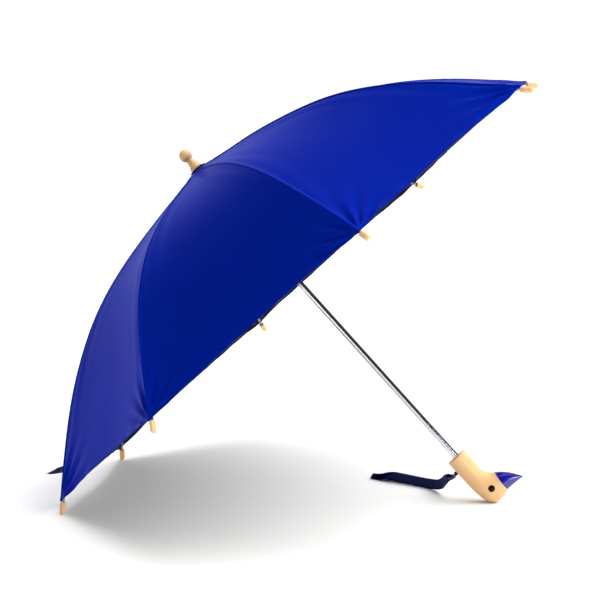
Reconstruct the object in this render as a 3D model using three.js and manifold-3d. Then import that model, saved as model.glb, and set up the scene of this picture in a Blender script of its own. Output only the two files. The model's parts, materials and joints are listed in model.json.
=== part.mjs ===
// Child's stick umbrella with a duck-head handle, open and lying on two rib tips and the head.
// Millimetres, +Z up. Each moving set hangs in a group of its own, whose origin is its pivot.
import * as THREE from 'three';
import { mergeVertices } from 'three/addons/utils/BufferGeometryUtils.js';
import Module from 'manifold-3d';

// ---------------------------------------------------------------- driving dimensions
const GAP = 0.3;                  // between pieces that touch or run on each other

const RIB_COUNT = 8;
const RIB_LENGTH = 429;           // notch pivot to hem corner, along the rib
const RIB_FIRST_SLOPE = 8.5;      // degrees below level where the rib leaves the notch
const RIB_BEND = 35;              // degrees that the canopy's pull turns the rib by, over its length
const RIB_WIDTH = 2.6;
const RIB_DEPTH = 2.8;
const RIB_WALL = 0.5;
const RIB_PIN = 7;                // length of rib that goes into its tip

const STRETCHER_REACH = 215;      // notch pivot to stretcher rivet, along the rib
const STRETCHER_DEPTH = 2.6;
const STRETCHER_WALL = 0.6;
const FORK_LENGTH = 18;           // web cut away beside the rib
const FORK_RADIUS = 1.9;
const RIVET_RADIUS = 0.6;
const RIVET_HEAD_RADIUS = 1.2;
const RIVET_HEAD = 0.6;
const TONGUE_WIDTH = 1.4;         // flattened ends of ribs and stretchers
const TONGUE_RADIUS = 2;
const TONGUE_LENGTH = 10;
const TONGUE_ROOT = 3.5;          // length of tongue inside the channel that it is pressed from
const RIB_SOLID_END = 4;          // unfluted end of the rib, at the hem

const SHAFT_RADIUS = 4;
const SHAFT_WALL = 0.6;
const PIVOT_RADIUS = 7;           // both pivot rings, from the shaft's axis
const WIRE_RADIUS = 0.6;
const NOTCH_RADIUS = 10.5;
const NOTCH_PIVOT_DROP = 6;       // crown of the canopy to the notch's pivots
const NOTCH_TOP_DROP = 2.3;
const NOTCH_BOTTOM_DROP = 10;
const RUNNER_CROWN_TOP = 3.7;     // runner heights are from its own pivots
const RUNNER_CROWN_BOTTOM = 4.2;
const RUNNER_LENGTH = 37;
const RUNNER_TUBE_RADIUS = 6.6;
const RUNNER_GRIP_RADIUS = 8.5;
const RUNNER_GRIP_LENGTH = 5;
const STOP_PIN_RADIUS = 0.8;
const STOP_PIN_LENGTH = 12;
const FOLD_ANGLE = 62.5;          // degrees that a rib swings from open to closed

const CATCH_THICKNESS = 1.6;
const CATCH_LENGTH = 22;
const CATCH_STAND = 2.4;          // how far the catch's shoulder stands proud of the shaft
const CATCH_BODY = 1.8;           // strip of the spring inside the shaft
const CATCH_SHOULDER = 1.5;       // straight part of the catch beside its shoulder
const CATCH_PRESS = 7;            // degrees that a thumb swings the catch in, about its shoulder
const CATCH_WINDOW_DROP = 24;     // runner's pivots to the shoulder that holds it closed
const WINDOW_CLEARANCE = 4;       // beyond the foot of the catch

const CANOPY_THICKNESS = 0.8;
const CANOPY_LIFT = 2.9;          // rib's middle line to the cloth's inner face
const CROWN_LIFT = 3.3;           // extra lift beside the notch
const CROWN_LIFT_REACH = 40;
const GORE_SAG = 0.015;           // how far a gore dips between its ribs, as a share of its radius
const HEM_SCALLOP = 10;
const PANEL_START = 6.4;          // notch pivot to the first row of cloth, along the rib

const TIP_RADIUS = 3.45;
const TIP_LENGTH = 14.5;
const FINIAL_BALL_RADIUS = 8.1;
const FINIAL_BALL_RISE = 21.9;    // crown of the canopy to the ball's centre
const FINIAL_NECK_RADIUS = 4.65;
const FINIAL_BASE_RADIUS = 8.4;
const FINIAL_SOCKET = 6.5;
const ROSETTE_RADIUS = 12;
const ROSETTE_THICKNESS = 0.8;
const ROSETTE_TEETH = 20;
const ROSETTE_TOOTH = 0.9;

const HANDLE_CLEARANCE = 5.3;     // closed runner to the top of the grip
const GRIP_RADIUS = 12.5;
const GRIP_EDGE = 0.8;
const GRIP_STRAIGHT = 28.5;       // depths are from the top of the grip: where the throat starts to turn
const THROAT_RADIUS = 17.6;       // hollow between grip and beak
const THROAT_TURN = 64;           // degrees that the hollow turns through
const NAPE_DEPTH = 66;            // the two handles of the curve over the back of the head
const CHIN_DEPTH = 82;
const CHIN_BACK = 7;
const HEAD_HALF_WIDTH = 14.2;
const BEAK_START = 20.7;          // shaft's axis to the beak's base
const BEAK_FOOT = 70.8;           // depth of the beak's far edge
const BEAK_HALF_WIDTH = 10.6;
const BEAK_LENGTH = 23.3;
const BEAK_CROWN = 2.6;           // bulge of the beak's upper edge
const BEAK_POINT_RADIUS = 0.8;
const SOCKET_DEPTH = 45;          // shaft's bore in the grip
const EYE_OUT = 8.3;              // shaft's axis to the eyes
const EYE_DEPTH = 55.3;
const EYE_FACE = 13.2;            // middle plane of the head to its side, at the eyes
const EYE_RADIUS = 3.9;
const EYE_STAND = 1.7;
const EYE_SINK = 2.4;
const EYE_STEM_RADIUS = 1.2;
const EYE_STEM = 5;

const STRAP_WIDTH = 12.5;
const STRAP_NECK_WIDTH = 4.4;
const STRAP_THICKNESS = 3;        // the two runs of the loop together
const STRAP_HOLE_DROP = 15.4;     // top of the grip to the strap's hole
const STRAP_HOLE_DEPTH = 6;
const STRAP_OPENED = 50;          // length of strap before it is at its full width

const TIE_WIDTH = 13;
const TIE_THICKNESS = 0.8;
const TIE_FROM_HEM = 26;          // hem to the tie strap's middle, along the rib
const TIE_ROOT = 0.97;            // root and point of the strap, as shares of the way to mid-gore
const TIE_END = 0.14;
const TIE_CURL = 24;              // how far its point stands off the cloth
const TIE_POINT = 14;             // length of the strap's pointed end
const TIE_POINT_SHARE = 0.12;     // width left at the very end
const HOOK_MIDDLE = 0.72;         // middles of the two patches, as shares of the strap's length
const LOOP_MIDDLE = 0.12;
const PATCH_LENGTH = 16;
const PATCH_WIDTH = 9;
const PATCH_THICKNESS = 0.6;

// ---------------------------------------------------------------- values worked out from them
const rad = THREE.MathUtils.degToRad;
const SECTOR = Math.PI / RIB_COUNT;
const RUNNING_BORE = SHAFT_RADIUS + GAP;
const SLOT_WIDTH = TONGUE_WIDTH + 2 * GAP;
const FORK_GAP = RIB_WIDTH + 2 * GAP;
const STRETCHER_WIDTH = FORK_GAP + 2 * STRETCHER_WALL;
const RIVET_HOLE = RIVET_RADIUS + GAP;
const WIRE_HOLE = WIRE_RADIUS + GAP;
const RIB_STEPS = 13;
const ROUND = 24;

// ---------------------------------------------------------------- finishes
function finish(color, roughness, metalness) {
  return new THREE.MeshStandardMaterial({ color, roughness, metalness });
}
const CHROME = finish('#d9dce2', 0.12, 1);
const STEEL = finish('#8f949c', 0.35, 1);
const MOULDED = finish('#16171d', 0.45, 0);
const BEECH = finish('#f2cf97', 0.4, 0);
const SATIN = finish('#0a2aa0', 0.5, 0);
const RIBBON = finish('#050a45', 0.6, 0);
const BEAD = finish('#08080a', 0.15, 0);

// ---------------------------------------------------------------- solid helpers
const wasm = await Module();
wasm.setup();

function toSolid(geometry) {
  const bare = geometry.clone();
  bare.deleteAttribute('normal');
  bare.deleteAttribute('uv');
  const merged = mergeVertices(bare, 1e-5);
  const mesh = new wasm.Mesh({
    numProp: 3,
    vertProperties: new Float32Array(merged.attributes.position.array),
    triVerts: new Uint32Array(merged.index.array),
  });
  return new wasm.Manifold(mesh);
}

function toGeometry(solid) {
  const mesh = solid.getMesh();
  const geometry = new THREE.BufferGeometry();
  geometry.setAttribute('position', new THREE.BufferAttribute(new Float32Array(mesh.vertProperties), 3));
  geometry.setIndex(new THREE.BufferAttribute(new Uint32Array(mesh.triVerts), 1));
  geometry.computeVertexNormals();
  return geometry;
}

function cut(solid, ...tools) {
  return tools.reduce((left, tool) => left.subtract(toSolid(tool)), solid);
}

function join(...shapes) {
  return shapes.map(toSolid).reduce((all, shape) => all.add(shape));
}

// A side outline in the XZ plane, given width along Y about the plane y = 0.
function sideExtrude(shape, width) {
  const geometry = new THREE.ExtrudeGeometry(shape, { depth: width, bevelEnabled: false, curveSegments: 8 });
  geometry.translate(0, 0, -width / 2);
  geometry.rotateX(Math.PI / 2);
  return geometry;
}

function block(lowX, highX, width, lowZ, highZ) {
  const geometry = new THREE.BoxGeometry(highX - lowX, width, highZ - lowZ);
  geometry.translate((lowX + highX) / 2, 0, (lowZ + highZ) / 2);
  return geometry;
}

// A cylinder whose axis runs along Y through (x, z).
function crossCylinder(radius, length, x, z, sides = 8) {
  const geometry = new THREE.CylinderGeometry(radius, radius, length, sides);
  geometry.translate(x, 0, z);
  return geometry;
}

// A body of revolution about Z from [radius, height] pairs.
function turned(profile, sides = ROUND, start = 0) {
  const points = profile.map(([radius, height]) => new THREE.Vector2(radius, height));
  const geometry = new THREE.LatheGeometry(points, sides, start);
  geometry.rotateX(Math.PI / 2);
  return geometry;
}

function ringProfile(inner, outer, low, high) {
  return [[inner, low], [outer, low], [outer, high], [inner, high], [inner, low]];
}

// Skins rings of equal, even point count. Both ends close in strips across the ring.
function loft(rings) {
  const count = rings[0].length;
  const last = (rings.length - 1) * count;
  const position = rings.flat().flatMap((point) => [point.x, point.y, point.z]);
  const index = [];
  for (let ring = 0; ring < last; ring += count) {
    for (let i = 0; i < count; i += 1) {
      const a = ring + i;
      const b = ring + (i + 1) % count;
      index.push(a, b, b + count, a, b + count, a + count);
    }
  }
  for (let i = 0; i < count / 2 - 1; i += 1) {
    const across = count - 1 - i;
    index.push(i, across, across - 1, i, across - 1, i + 1);
    index.push(last + i, last + i + 1, last + across - 1, last + i, last + across - 1, last + across);
  }
  const geometry = new THREE.BufferGeometry();
  geometry.setAttribute('position', new THREE.Float32BufferAttribute(position, 3));
  geometry.setIndex(index);
  return toGeometry(outward(toSolid(geometry), index, position));
}

// Turns the skin round where its rings were listed the other way.
function outward(solid, index, position) {
  if (solid.volume() > 0) return solid;
  const geometry = new THREE.BufferGeometry();
  geometry.setAttribute('position', new THREE.Float32BufferAttribute(position, 3));
  geometry.setIndex(index.slice().reverse());
  return toSolid(geometry);
}

function spaced(from, to, steps) {
  return Array.from({ length: steps + 1 }, (_, i) => from + (to - from) * i / steps);
}

// ---------------------------------------------------------------- the bent rib
// A fluted rib is straight when free. Held at the notch, the rivet and the hem, its curvature rises
// evenly to the rivet and falls evenly to the hem.
function ribSlope(reach) {
  const s = THREE.MathUtils.clamp(reach, 0, RIB_LENGTH);
  const before = s * s / (STRETCHER_REACH * RIB_LENGTH);
  const after = 1 - (RIB_LENGTH - s) ** 2 / ((RIB_LENGTH - STRETCHER_REACH) * RIB_LENGTH);
  return rad(RIB_FIRST_SLOPE + RIB_BEND * (s < STRETCHER_REACH ? before : after));
}

// The rib's middle line from its pivot: x runs outwards, y up, offset along the rib's upper normal.
function ribPoint(reach, offset = 0) {
  const steps = 48;
  const step = reach / steps;
  const point = new THREE.Vector2();
  for (let i = 0; i < steps; i += 1) {
    const slope = ribSlope((i + 0.5) * step);
    point.x += Math.cos(slope) * step;
    point.y -= Math.sin(slope) * step;
  }
  const slope = ribSlope(reach);
  return point.add(new THREE.Vector2(Math.sin(slope), Math.cos(slope)).multiplyScalar(offset));
}

function ribBand(from, to, low, high, steps = RIB_STEPS) {
  const reaches = spaced(from, to, steps);
  const upper = reaches.map((reach) => ribPoint(reach, high));
  const lower = reaches.map((reach) => ribPoint(reach, low)).reverse();
  return new THREE.Shape([...upper, ...lower]);
}

const rivetPoint = ribPoint(STRETCHER_REACH);
const STRETCHER_LENGTH = rivetPoint.length();
const STRETCHER_RISE = Math.atan2(-rivetPoint.y, rivetPoint.x);
const RUNNER_DROP = NOTCH_PIVOT_DROP - 2 * rivetPoint.y;
const CLOSED_RUNNER_DROP = NOTCH_PIVOT_DROP
  + 2 * STRETCHER_LENGTH * Math.sin(STRETCHER_RISE + rad(FOLD_ANGLE));
const HANDLE_DROP = CLOSED_RUNNER_DROP + RUNNER_LENGTH + HANDLE_CLEARANCE;

// ---------------------------------------------------------------- ribs, stretchers, rivets, tips
function makeRib() {
  const half = RIB_DEPTH / 2;
  const start = TONGUE_LENGTH - TONGUE_ROOT;
  const channelEnd = RIB_LENGTH - RIB_SOLID_END;
  const blank = join(
    sideExtrude(ribBand(start, RIB_LENGTH + RIB_PIN, -half, half), RIB_WIDTH),
    sideExtrude(ribBand(0, TONGUE_LENGTH, -half + GAP, half - GAP, 3), TONGUE_WIDTH),
    crossCylinder(TONGUE_RADIUS, TONGUE_WIDTH, 0, 0),
  );
  const flute = sideExtrude(ribBand(TONGUE_LENGTH, channelEnd, -RIB_DEPTH, half - RIB_WALL),
    RIB_WIDTH - 2 * RIB_WALL);
  return toGeometry(cut(
    blank,
    flute,
    crossCylinder(RIVET_HOLE, 2 * RIB_WIDTH, rivetPoint.x, rivetPoint.y),
    crossCylinder(WIRE_HOLE, 2 * RIB_WIDTH, 0, 0),
  ));
}

// Lies along -X from the rivet at its origin to the runner's ring, open side up.
function makeStretcher() {
  const half = STRETCHER_DEPTH / 2;
  const channelStart = STRETCHER_LENGTH - TONGUE_LENGTH;
  const body = cut(
    join(
      block(-channelStart - TONGUE_ROOT, 0, STRETCHER_WIDTH, -half, half),
      crossCylinder(FORK_RADIUS, STRETCHER_WIDTH, 0, 0),
    ),
    block(-FORK_LENGTH, 2 * FORK_RADIUS, FORK_GAP, -2 * half, 2 * half),
    block(-channelStart, -FORK_LENGTH + 1, FORK_GAP, -half + STRETCHER_WALL, 2 * half),
  );
  const tongue = join(
    block(-STRETCHER_LENGTH, -channelStart + 1, TONGUE_WIDTH, -half, half),
    crossCylinder(TONGUE_RADIUS, TONGUE_WIDTH, -STRETCHER_LENGTH, 0),
  );
  return toGeometry(cut(
    body.add(tongue),
    crossCylinder(RIVET_HOLE, 2 * STRETCHER_WIDTH, 0, 0),
    crossCylinder(WIRE_HOLE, 2 * STRETCHER_WIDTH, -STRETCHER_LENGTH, 0),
  ));
}

function makeRivet() {
  const shank = STRETCHER_WIDTH / 2 + GAP;
  const end = shank + RIVET_HEAD;
  const geometry = new THREE.LatheGeometry([
    new THREE.Vector2(0, -end),
    new THREE.Vector2(RIVET_HEAD_RADIUS, -end),
    new THREE.Vector2(RIVET_HEAD_RADIUS, -shank),
    new THREE.Vector2(RIVET_RADIUS, -shank),
    new THREE.Vector2(RIVET_RADIUS, shank),
    new THREE.Vector2(RIVET_HEAD_RADIUS, shank),
    new THREE.Vector2(RIVET_HEAD_RADIUS, end),
    new THREE.Vector2(0, end),
  ], 8);
  return geometry;
}

// Turned tip along +Z from its open end at the hem.
function makeTip() {
  const bore = Math.hypot(RIB_WIDTH, RIB_DEPTH) / 2 + GAP;
  const depth = RIB_PIN + GAP;
  const dome = spaced(0, Math.PI / 2, 3).map((angle) => [
    TIP_RADIUS * Math.cos(angle),
    TIP_LENGTH - TIP_RADIUS * (1 - Math.sin(angle)),
  ]);
  dome[dome.length - 1][0] = 0;
  return turned([[0, depth], [bore, depth], [bore, 0], [TIP_RADIUS - 0.5, 0], [TIP_RADIUS, 1], ...dome], 12);
}

// ---------------------------------------------------------------- canopy
function clothLift(reach) {
  const near = Math.max(0, 1 - reach / CROWN_LIFT_REACH);
  return CANOPY_LIFT + CROWN_LIFT * near * near;
}

// A point of the cloth beside one rib, from the rib's pivot. across runs from -1 to 1 between the
// two mid-gore lines, along runs from 0 at the crown to 1 at the hem, and lift is out of the cloth.
function clothPoint(across, along, lift) {
  const side = Math.abs(across);
  const hollow = 2 * side - side * side;
  const reach = PANEL_START + (RIB_LENGTH - HEM_SCALLOP * hollow - PANEL_START) * along;
  const onRib = ribPoint(reach, clothLift(reach) + lift);
  const radius = PIVOT_RADIUS + onRib.x;
  const halfGore = radius * Math.sin(SECTOR) * Math.cos(SECTOR) - GAP / 2;
  const y = across * halfGore;
  const x = radius - Math.abs(y) * Math.tan(SECTOR);
  const slope = ribSlope(reach);
  const dip = GORE_SAG * radius * hollow;
  const inwards = 1 - dip * Math.sin(slope) / x;
  return new THREE.Vector3(x * inwards - PIVOT_RADIUS, y * inwards, onRib.y - dip * Math.cos(slope));
}

function makePanel() {
  const columns = spaced(-1, 1, 4);
  const rings = spaced(0, 1, 12).map((along) => [
    ...columns.map((across) => clothPoint(across, along, CANOPY_THICKNESS)),
    ...columns.slice().reverse().map((across) => clothPoint(across, along, 0)),
  ]);
  return loft(rings);
}

// The cloth over the notch: a low pyramid with a corner at each rib, where the panels begin.
function makeCrownCloth() {
  const rim = clothPoint(0, 0, CANOPY_THICKNESS);
  const radius = PIVOT_RADIUS + rim.x - 2 * GAP;
  const height = rim.z - NOTCH_PIVOT_DROP;
  const pyramid = turned([
    [0, -CANOPY_THICKNESS],
    [radius, height - CANOPY_THICKNESS],
    [radius, height],
    [0, 0],
  ], RIB_COUNT, SECTOR);
  const bore = turned([[0, height - 2], [RUNNING_BORE, height - 2], [RUNNING_BORE, 1], [0, 1]]);
  return toGeometry(cut(toSolid(pyramid), bore));
}

function makeRosette() {
  const corners = spaced(0, 2 * ROSETTE_TEETH - 1, 2 * ROSETTE_TEETH - 1).map((i) => {
    const angle = Math.PI * i / ROSETTE_TEETH;
    const radius = ROSETTE_RADIUS - (i % 2) * ROSETTE_TOOTH;
    return new THREE.Vector2(radius * Math.cos(angle), radius * Math.sin(angle));
  });
  const outline = new THREE.Shape(corners);
  outline.holes.push(new THREE.Path().absarc(0, 0, RUNNING_BORE, 0, 2 * Math.PI, true));
  const geometry = new THREE.ExtrudeGeometry(outline,
    { depth: ROSETTE_THICKNESS, bevelEnabled: false, curveSegments: 10 });
  geometry.translate(0, 0, GAP);
  return geometry;
}

// ---------------------------------------------------------------- tie strap, on the cloth of one rib
const tieAlong = (RIB_LENGTH - TIE_FROM_HEM - PANEL_START) / (RIB_LENGTH - HEM_SCALLOP - PANEL_START);
const tieHalfShare = TIE_WIDTH / 2 / RIB_LENGTH;
const tieRadius = PIVOT_RADIUS + ribPoint(RIB_LENGTH - TIE_FROM_HEM).x;
const goreHalfAtTie = tieRadius * Math.sin(SECTOR) * Math.cos(SECTOR);
const TIE_LENGTH = (TIE_ROOT - TIE_END) * goreHalfAtTie;

function tieStand(travel) {
  return CANOPY_THICKNESS + GAP + TIE_CURL * travel ** 3;
}

function makeTieStrap() {
  const rings = spaced(0, 1, 12).map((travel) => {
    const across = -(TIE_ROOT + (TIE_END - TIE_ROOT) * travel);
    const left = (1 - travel) * TIE_LENGTH;
    const half = tieHalfShare * Math.min(1, TIE_POINT_SHARE + left / TIE_POINT);
    const low = tieStand(travel);
    return [
      clothPoint(across, tieAlong - half, low),
      clothPoint(across, tieAlong + half, low),
      clothPoint(across, tieAlong + half, low + TIE_THICKNESS),
      clothPoint(across, tieAlong - half, low + TIE_THICKNESS),
    ];
  });
  return loft(rings);
}

// A patch of hook or loop tape on the strap, its middle a share of the strap's length from the root.
function makePatch(middle, below, drop) {
  const share = PATCH_LENGTH / 2 / TIE_LENGTH;
  const half = PATCH_WIDTH / 2 / RIB_LENGTH;
  const rings = spaced(middle - share, middle + share, 4).map((travel) => {
    const across = -(TIE_ROOT + (TIE_END - TIE_ROOT) * travel);
    const low = below ? CANOPY_THICKNESS + 2 * GAP : tieStand(travel) + TIE_THICKNESS + GAP;
    const along = tieAlong + drop / RIB_LENGTH;
    return [
      clothPoint(across, along - half, low),
      clothPoint(across, along + half, low),
      clothPoint(across, along + half, low + PATCH_THICKNESS),
      clothPoint(across, along - half, low + PATCH_THICKNESS),
    ];
  });
  return loft(rings);
}

// ---------------------------------------------------------------- shaft, notch, runner, catches
const topShoulder = -(RUNNER_DROP + RUNNER_LENGTH + GAP);
const bottomShoulder = -(CLOSED_RUNNER_DROP + CATCH_WINDOW_DROP);
const stopPinHeight = -(RUNNER_DROP - RUNNER_CROWN_TOP - GAP - STOP_PIN_RADIUS);

// The catch stands in the +Y side of the shaft: a strip with a ramp up to its shoulder.
// way is 1 where the shoulder faces up and -1 where it faces down.
function makeCatch(way) {
  const strip = SHAFT_RADIUS - SHAFT_WALL - GAP - CATCH_BODY;
  const proud = SHAFT_RADIUS + CATCH_STAND;
  const outline = new THREE.Shape([
    new THREE.Vector2(strip, -way * CATCH_LENGTH),
    new THREE.Vector2(strip + CATCH_BODY, -way * CATCH_LENGTH),
    new THREE.Vector2(proud, -way * CATCH_SHOULDER),
    new THREE.Vector2(proud, 0),
    new THREE.Vector2(strip, 0),
  ]);
  const geometry = sideExtrude(outline, CATCH_THICKNESS);
  geometry.rotateZ(Math.PI / 2);
  return geometry;
}

function shaftSlot(shoulder, way) {
  const swing = (SHAFT_RADIUS + CATCH_STAND) * Math.sin(rad(CATCH_PRESS));
  const from = shoulder + way * (GAP + swing);
  const to = shoulder - way * (CATCH_LENGTH + GAP);
  const width = CATCH_THICKNESS + 2 * GAP;
  const geometry = block(SHAFT_RADIUS / 4, 2 * SHAFT_RADIUS, width, Math.min(from, to), Math.max(from, to));
  geometry.rotateZ(Math.PI / 2);
  return geometry;
}

function makeShaft() {
  const low = -(HANDLE_DROP + SOCKET_DEPTH - GAP);
  const high = FINIAL_SOCKET;
  const tube = toSolid(turned(ringProfile(SHAFT_RADIUS - SHAFT_WALL, SHAFT_RADIUS, low, high)));
  const pinHole = crossCylinder(STOP_PIN_RADIUS + GAP, STOP_PIN_LENGTH, 0, stopPinHeight);
  pinHole.rotateZ(Math.PI / 2);
  return toGeometry(cut(tube, shaftSlot(topShoulder, 1), shaftSlot(bottomShoulder, -1), pinHole));
}

function makeStopPin() {
  const geometry = crossCylinder(STOP_PIN_RADIUS, STOP_PIN_LENGTH, 0, stopPinHeight);
  geometry.rotateZ(Math.PI / 2);
  return geometry;
}

// Radial slots for the tongues, each open outwards and on the side that the arms swing to.
function tongueSlots(lowZ, highZ) {
  return spaced(0, RIB_COUNT - 1, RIB_COUNT - 1).map((k) => {
    const slot = block(PIVOT_RADIUS - TONGUE_RADIUS - GAP, 2 * NOTCH_RADIUS, SLOT_WIDTH, lowZ, highZ);
    slot.rotateZ(SECTOR * (2 * k + 1));
    return slot;
  });
}

function wireGroove(height) {
  return turned(ringProfile(PIVOT_RADIUS - WIRE_HOLE, 2 * NOTCH_RADIUS, height - WIRE_HOLE, height + WIRE_HOLE));
}

function makeNotch() {
  const body = toSolid(turned(ringProfile(RUNNING_BORE, NOTCH_RADIUS, -NOTCH_BOTTOM_DROP, -NOTCH_TOP_DROP)));
  const slotTop = -NOTCH_PIVOT_DROP + TONGUE_RADIUS + GAP;
  return toGeometry(cut(body, ...tongueSlots(-2 * NOTCH_BOTTOM_DROP, slotTop), wireGroove(-NOTCH_PIVOT_DROP)));
}

function makeWire() {
  return new THREE.TorusGeometry(PIVOT_RADIUS, WIRE_RADIUS, 5, ROUND);
}

// Heights from the runner's pivots.
function makeRunner() {
  const gripTop = -(RUNNER_LENGTH - RUNNER_GRIP_LENGTH);
  const body = toSolid(turned([
    [RUNNING_BORE, -RUNNER_LENGTH],
    [RUNNER_GRIP_RADIUS, -RUNNER_LENGTH],
    [RUNNER_GRIP_RADIUS, gripTop],
    [RUNNER_TUBE_RADIUS, gripTop + 3],
    [RUNNER_TUBE_RADIUS, -RUNNER_CROWN_BOTTOM - 3],
    [NOTCH_RADIUS, -RUNNER_CROWN_BOTTOM],
    [NOTCH_RADIUS, RUNNER_CROWN_TOP],
    [RUNNING_BORE, RUNNER_CROWN_TOP],
    [RUNNING_BORE, -RUNNER_LENGTH],
  ]));
  const window = block(SHAFT_RADIUS - 1, 2 * NOTCH_RADIUS, CATCH_THICKNESS + 2 * GAP,
    -(CATCH_WINDOW_DROP + GAP), -(CATCH_WINDOW_DROP - CATCH_LENGTH) - WINDOW_CLEARANCE);
  window.rotateZ(Math.PI / 2);
  const slots = tongueSlots(-TONGUE_RADIUS - GAP, 2 * RUNNER_CROWN_TOP);
  return toGeometry(cut(body, ...slots, wireGroove(0), window));
}

// ---------------------------------------------------------------- finial and handle
function makeFinial() {
  const base = GAP + ROSETTE_THICKNESS + GAP;
  const neckJoin = Math.asin(FINIAL_NECK_RADIUS / FINIAL_BALL_RADIUS);
  const ballFoot = FINIAL_BALL_RISE - FINIAL_BALL_RADIUS * Math.cos(neckJoin);
  const bell = new THREE.CubicBezierCurve(
    new THREE.Vector2(FINIAL_BASE_RADIUS, base + 1),
    new THREE.Vector2(FINIAL_BASE_RADIUS - 1.2, base + 6),
    new THREE.Vector2(FINIAL_NECK_RADIUS, base + 7),
    new THREE.Vector2(FINIAL_NECK_RADIUS, ballFoot),
  ).getPoints(5).map((point) => [point.x, point.y]);
  const ball = spaced(neckJoin, Math.PI, 8).slice(1).map((angle) => [
    FINIAL_BALL_RADIUS * Math.sin(angle),
    FINIAL_BALL_RISE - FINIAL_BALL_RADIUS * Math.cos(angle),
  ]);
  ball[ball.length - 1][0] = 0;
  const socketTop = FINIAL_SOCKET + GAP;
  return turned([[0, socketTop], [RUNNING_BORE, socketTop], [RUNNING_BORE, base],
    [FINIAL_BASE_RADIUS - 0.6, base], ...bell, ...ball], 18);
}

// One elliptical section of the handle: its middle, its half size in the XZ plane along a direction
// that turns from +X through -Z, and its half width along Y.
function handleRing(x, z, half, turn, halfWidth) {
  return spaced(0, ROUND - 1, ROUND - 1).map((i) => {
    const angle = 2 * Math.PI * (i + 0.5) / ROUND;
    const out = half * Math.cos(angle);
    return new THREE.Vector3(x + out * Math.cos(turn), halfWidth * Math.sin(angle), z + out * Math.sin(turn));
  });
}

// A section between a point of the throat line and a point of the back, each given as its distance
// from the shaft's axis and its depth below the top of the grip.
function handleSection(inner, outer, halfWidth) {
  const middle = inner.clone().add(outer).multiplyScalar(0.5);
  const reach = inner.clone().sub(outer);
  const turn = Math.atan2(-reach.y, reach.x);
  return handleRing(middle.x, -HANDLE_DROP - middle.y, reach.length() / 2, turn, halfWidth);
}

function gripSection(depth, inset) {
  const half = GRIP_RADIUS - inset;
  return handleSection(new THREE.Vector2(half, depth), new THREE.Vector2(-half, depth), half);
}

function throatPoint(share) {
  const angle = share * rad(THROAT_TURN);
  return new THREE.Vector2(
    GRIP_RADIUS + THROAT_RADIUS * (1 - Math.cos(angle)),
    GRIP_STRAIGHT + THROAT_RADIUS * Math.sin(angle),
  );
}

const backOfHead = new THREE.CubicBezierCurve(
  new THREE.Vector2(-GRIP_RADIUS, GRIP_STRAIGHT),
  new THREE.Vector2(-GRIP_RADIUS, NAPE_DEPTH),
  new THREE.Vector2(-CHIN_BACK, CHIN_DEPTH),
  new THREE.Vector2(BEAK_START, BEAK_FOOT),
);

// Grip, then the head about the throat, then the beak.
function handleRings() {
  const head = spaced(0, 1, 9).map((share) => {
    const swell = Math.sin(share * Math.PI) ** 1.3;
    const taper = GRIP_RADIUS + (BEAK_HALF_WIDTH - GRIP_RADIUS) * share * share;
    const width = taper + (HEAD_HALF_WIDTH - GRIP_RADIUS) * swell;
    return handleSection(throatPoint(share), backOfHead.getPoint(share), width);
  });
  const beakHeight = BEAK_FOOT - throatPoint(1).y;
  const beak = spaced(0, 1, 7).slice(1).map((share) => {
    const straight = THREE.MathUtils.lerp(beakHeight, 2 * BEAK_POINT_RADIUS, share);
    const height = straight + BEAK_CROWN * Math.sin(share * Math.PI);
    const width = THREE.MathUtils.lerp(BEAK_HALF_WIDTH, BEAK_POINT_RADIUS, share ** 1.15);
    const out = BEAK_START + BEAK_LENGTH * share;
    return handleSection(new THREE.Vector2(out, BEAK_FOOT - height), new THREE.Vector2(out, BEAK_FOOT), width);
  });
  return [gripSection(0, GRIP_EDGE), gripSection(GRIP_EDGE, 0), ...head, ...beak];
}

const strapHoleZ = -(HANDLE_DROP + STRAP_HOLE_DROP);
const strapHoleRadius = Math.hypot(STRAP_NECK_WIDTH, STRAP_THICKNESS) / 2 + GAP;

// A bead on a stem, along +Y from the middle plane of the head.
function beadProfile(clearance) {
  const dome = spaced(0, Math.PI / 2, 3).map((angle) => new THREE.Vector2(
    (EYE_RADIUS + clearance) * Math.cos(angle),
    EYE_FACE + EYE_STAND * Math.sin(angle),
  ));
  dome[dome.length - 1].x = 0;
  return [
    new THREE.Vector2(0, EYE_FACE - EYE_SINK - EYE_STEM - clearance),
    new THREE.Vector2(EYE_STEM_RADIUS + clearance, EYE_FACE - EYE_SINK - EYE_STEM - clearance),
    new THREE.Vector2(EYE_STEM_RADIUS + clearance, EYE_FACE - EYE_SINK - clearance),
    new THREE.Vector2(EYE_RADIUS + clearance, EYE_FACE - EYE_SINK - clearance),
    ...dome,
  ];
}

function makeEye(side, clearance = 0) {
  const geometry = new THREE.LatheGeometry(beadProfile(clearance), 12);
  geometry.rotateZ(side > 0 ? 0 : Math.PI);
  geometry.translate(EYE_OUT, 0, -HANDLE_DROP - EYE_DEPTH);
  return geometry;
}

function makeHandle() {
  const bore = turned([
    [0, -HANDLE_DROP - SOCKET_DEPTH],
    [RUNNING_BORE, -HANDLE_DROP - SOCKET_DEPTH],
    [RUNNING_BORE, -HANDLE_DROP + 1],
    [0, -HANDLE_DROP + 1],
  ]);
  const strapHole = new THREE.CylinderGeometry(strapHoleRadius, strapHoleRadius, STRAP_HOLE_DEPTH + 2, 16);
  strapHole.rotateZ(Math.PI / 2);
  strapHole.translate(-GRIP_RADIUS + STRAP_HOLE_DEPTH / 2 - 1, 0, strapHoleZ);
  return toGeometry(cut(toSolid(loft(handleRings())), bore, strapHole, makeEye(1, GAP), makeEye(-1, GAP)));
}

// ---------------------------------------------------------------- assembly
const umbrella = new THREE.Group();

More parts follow.
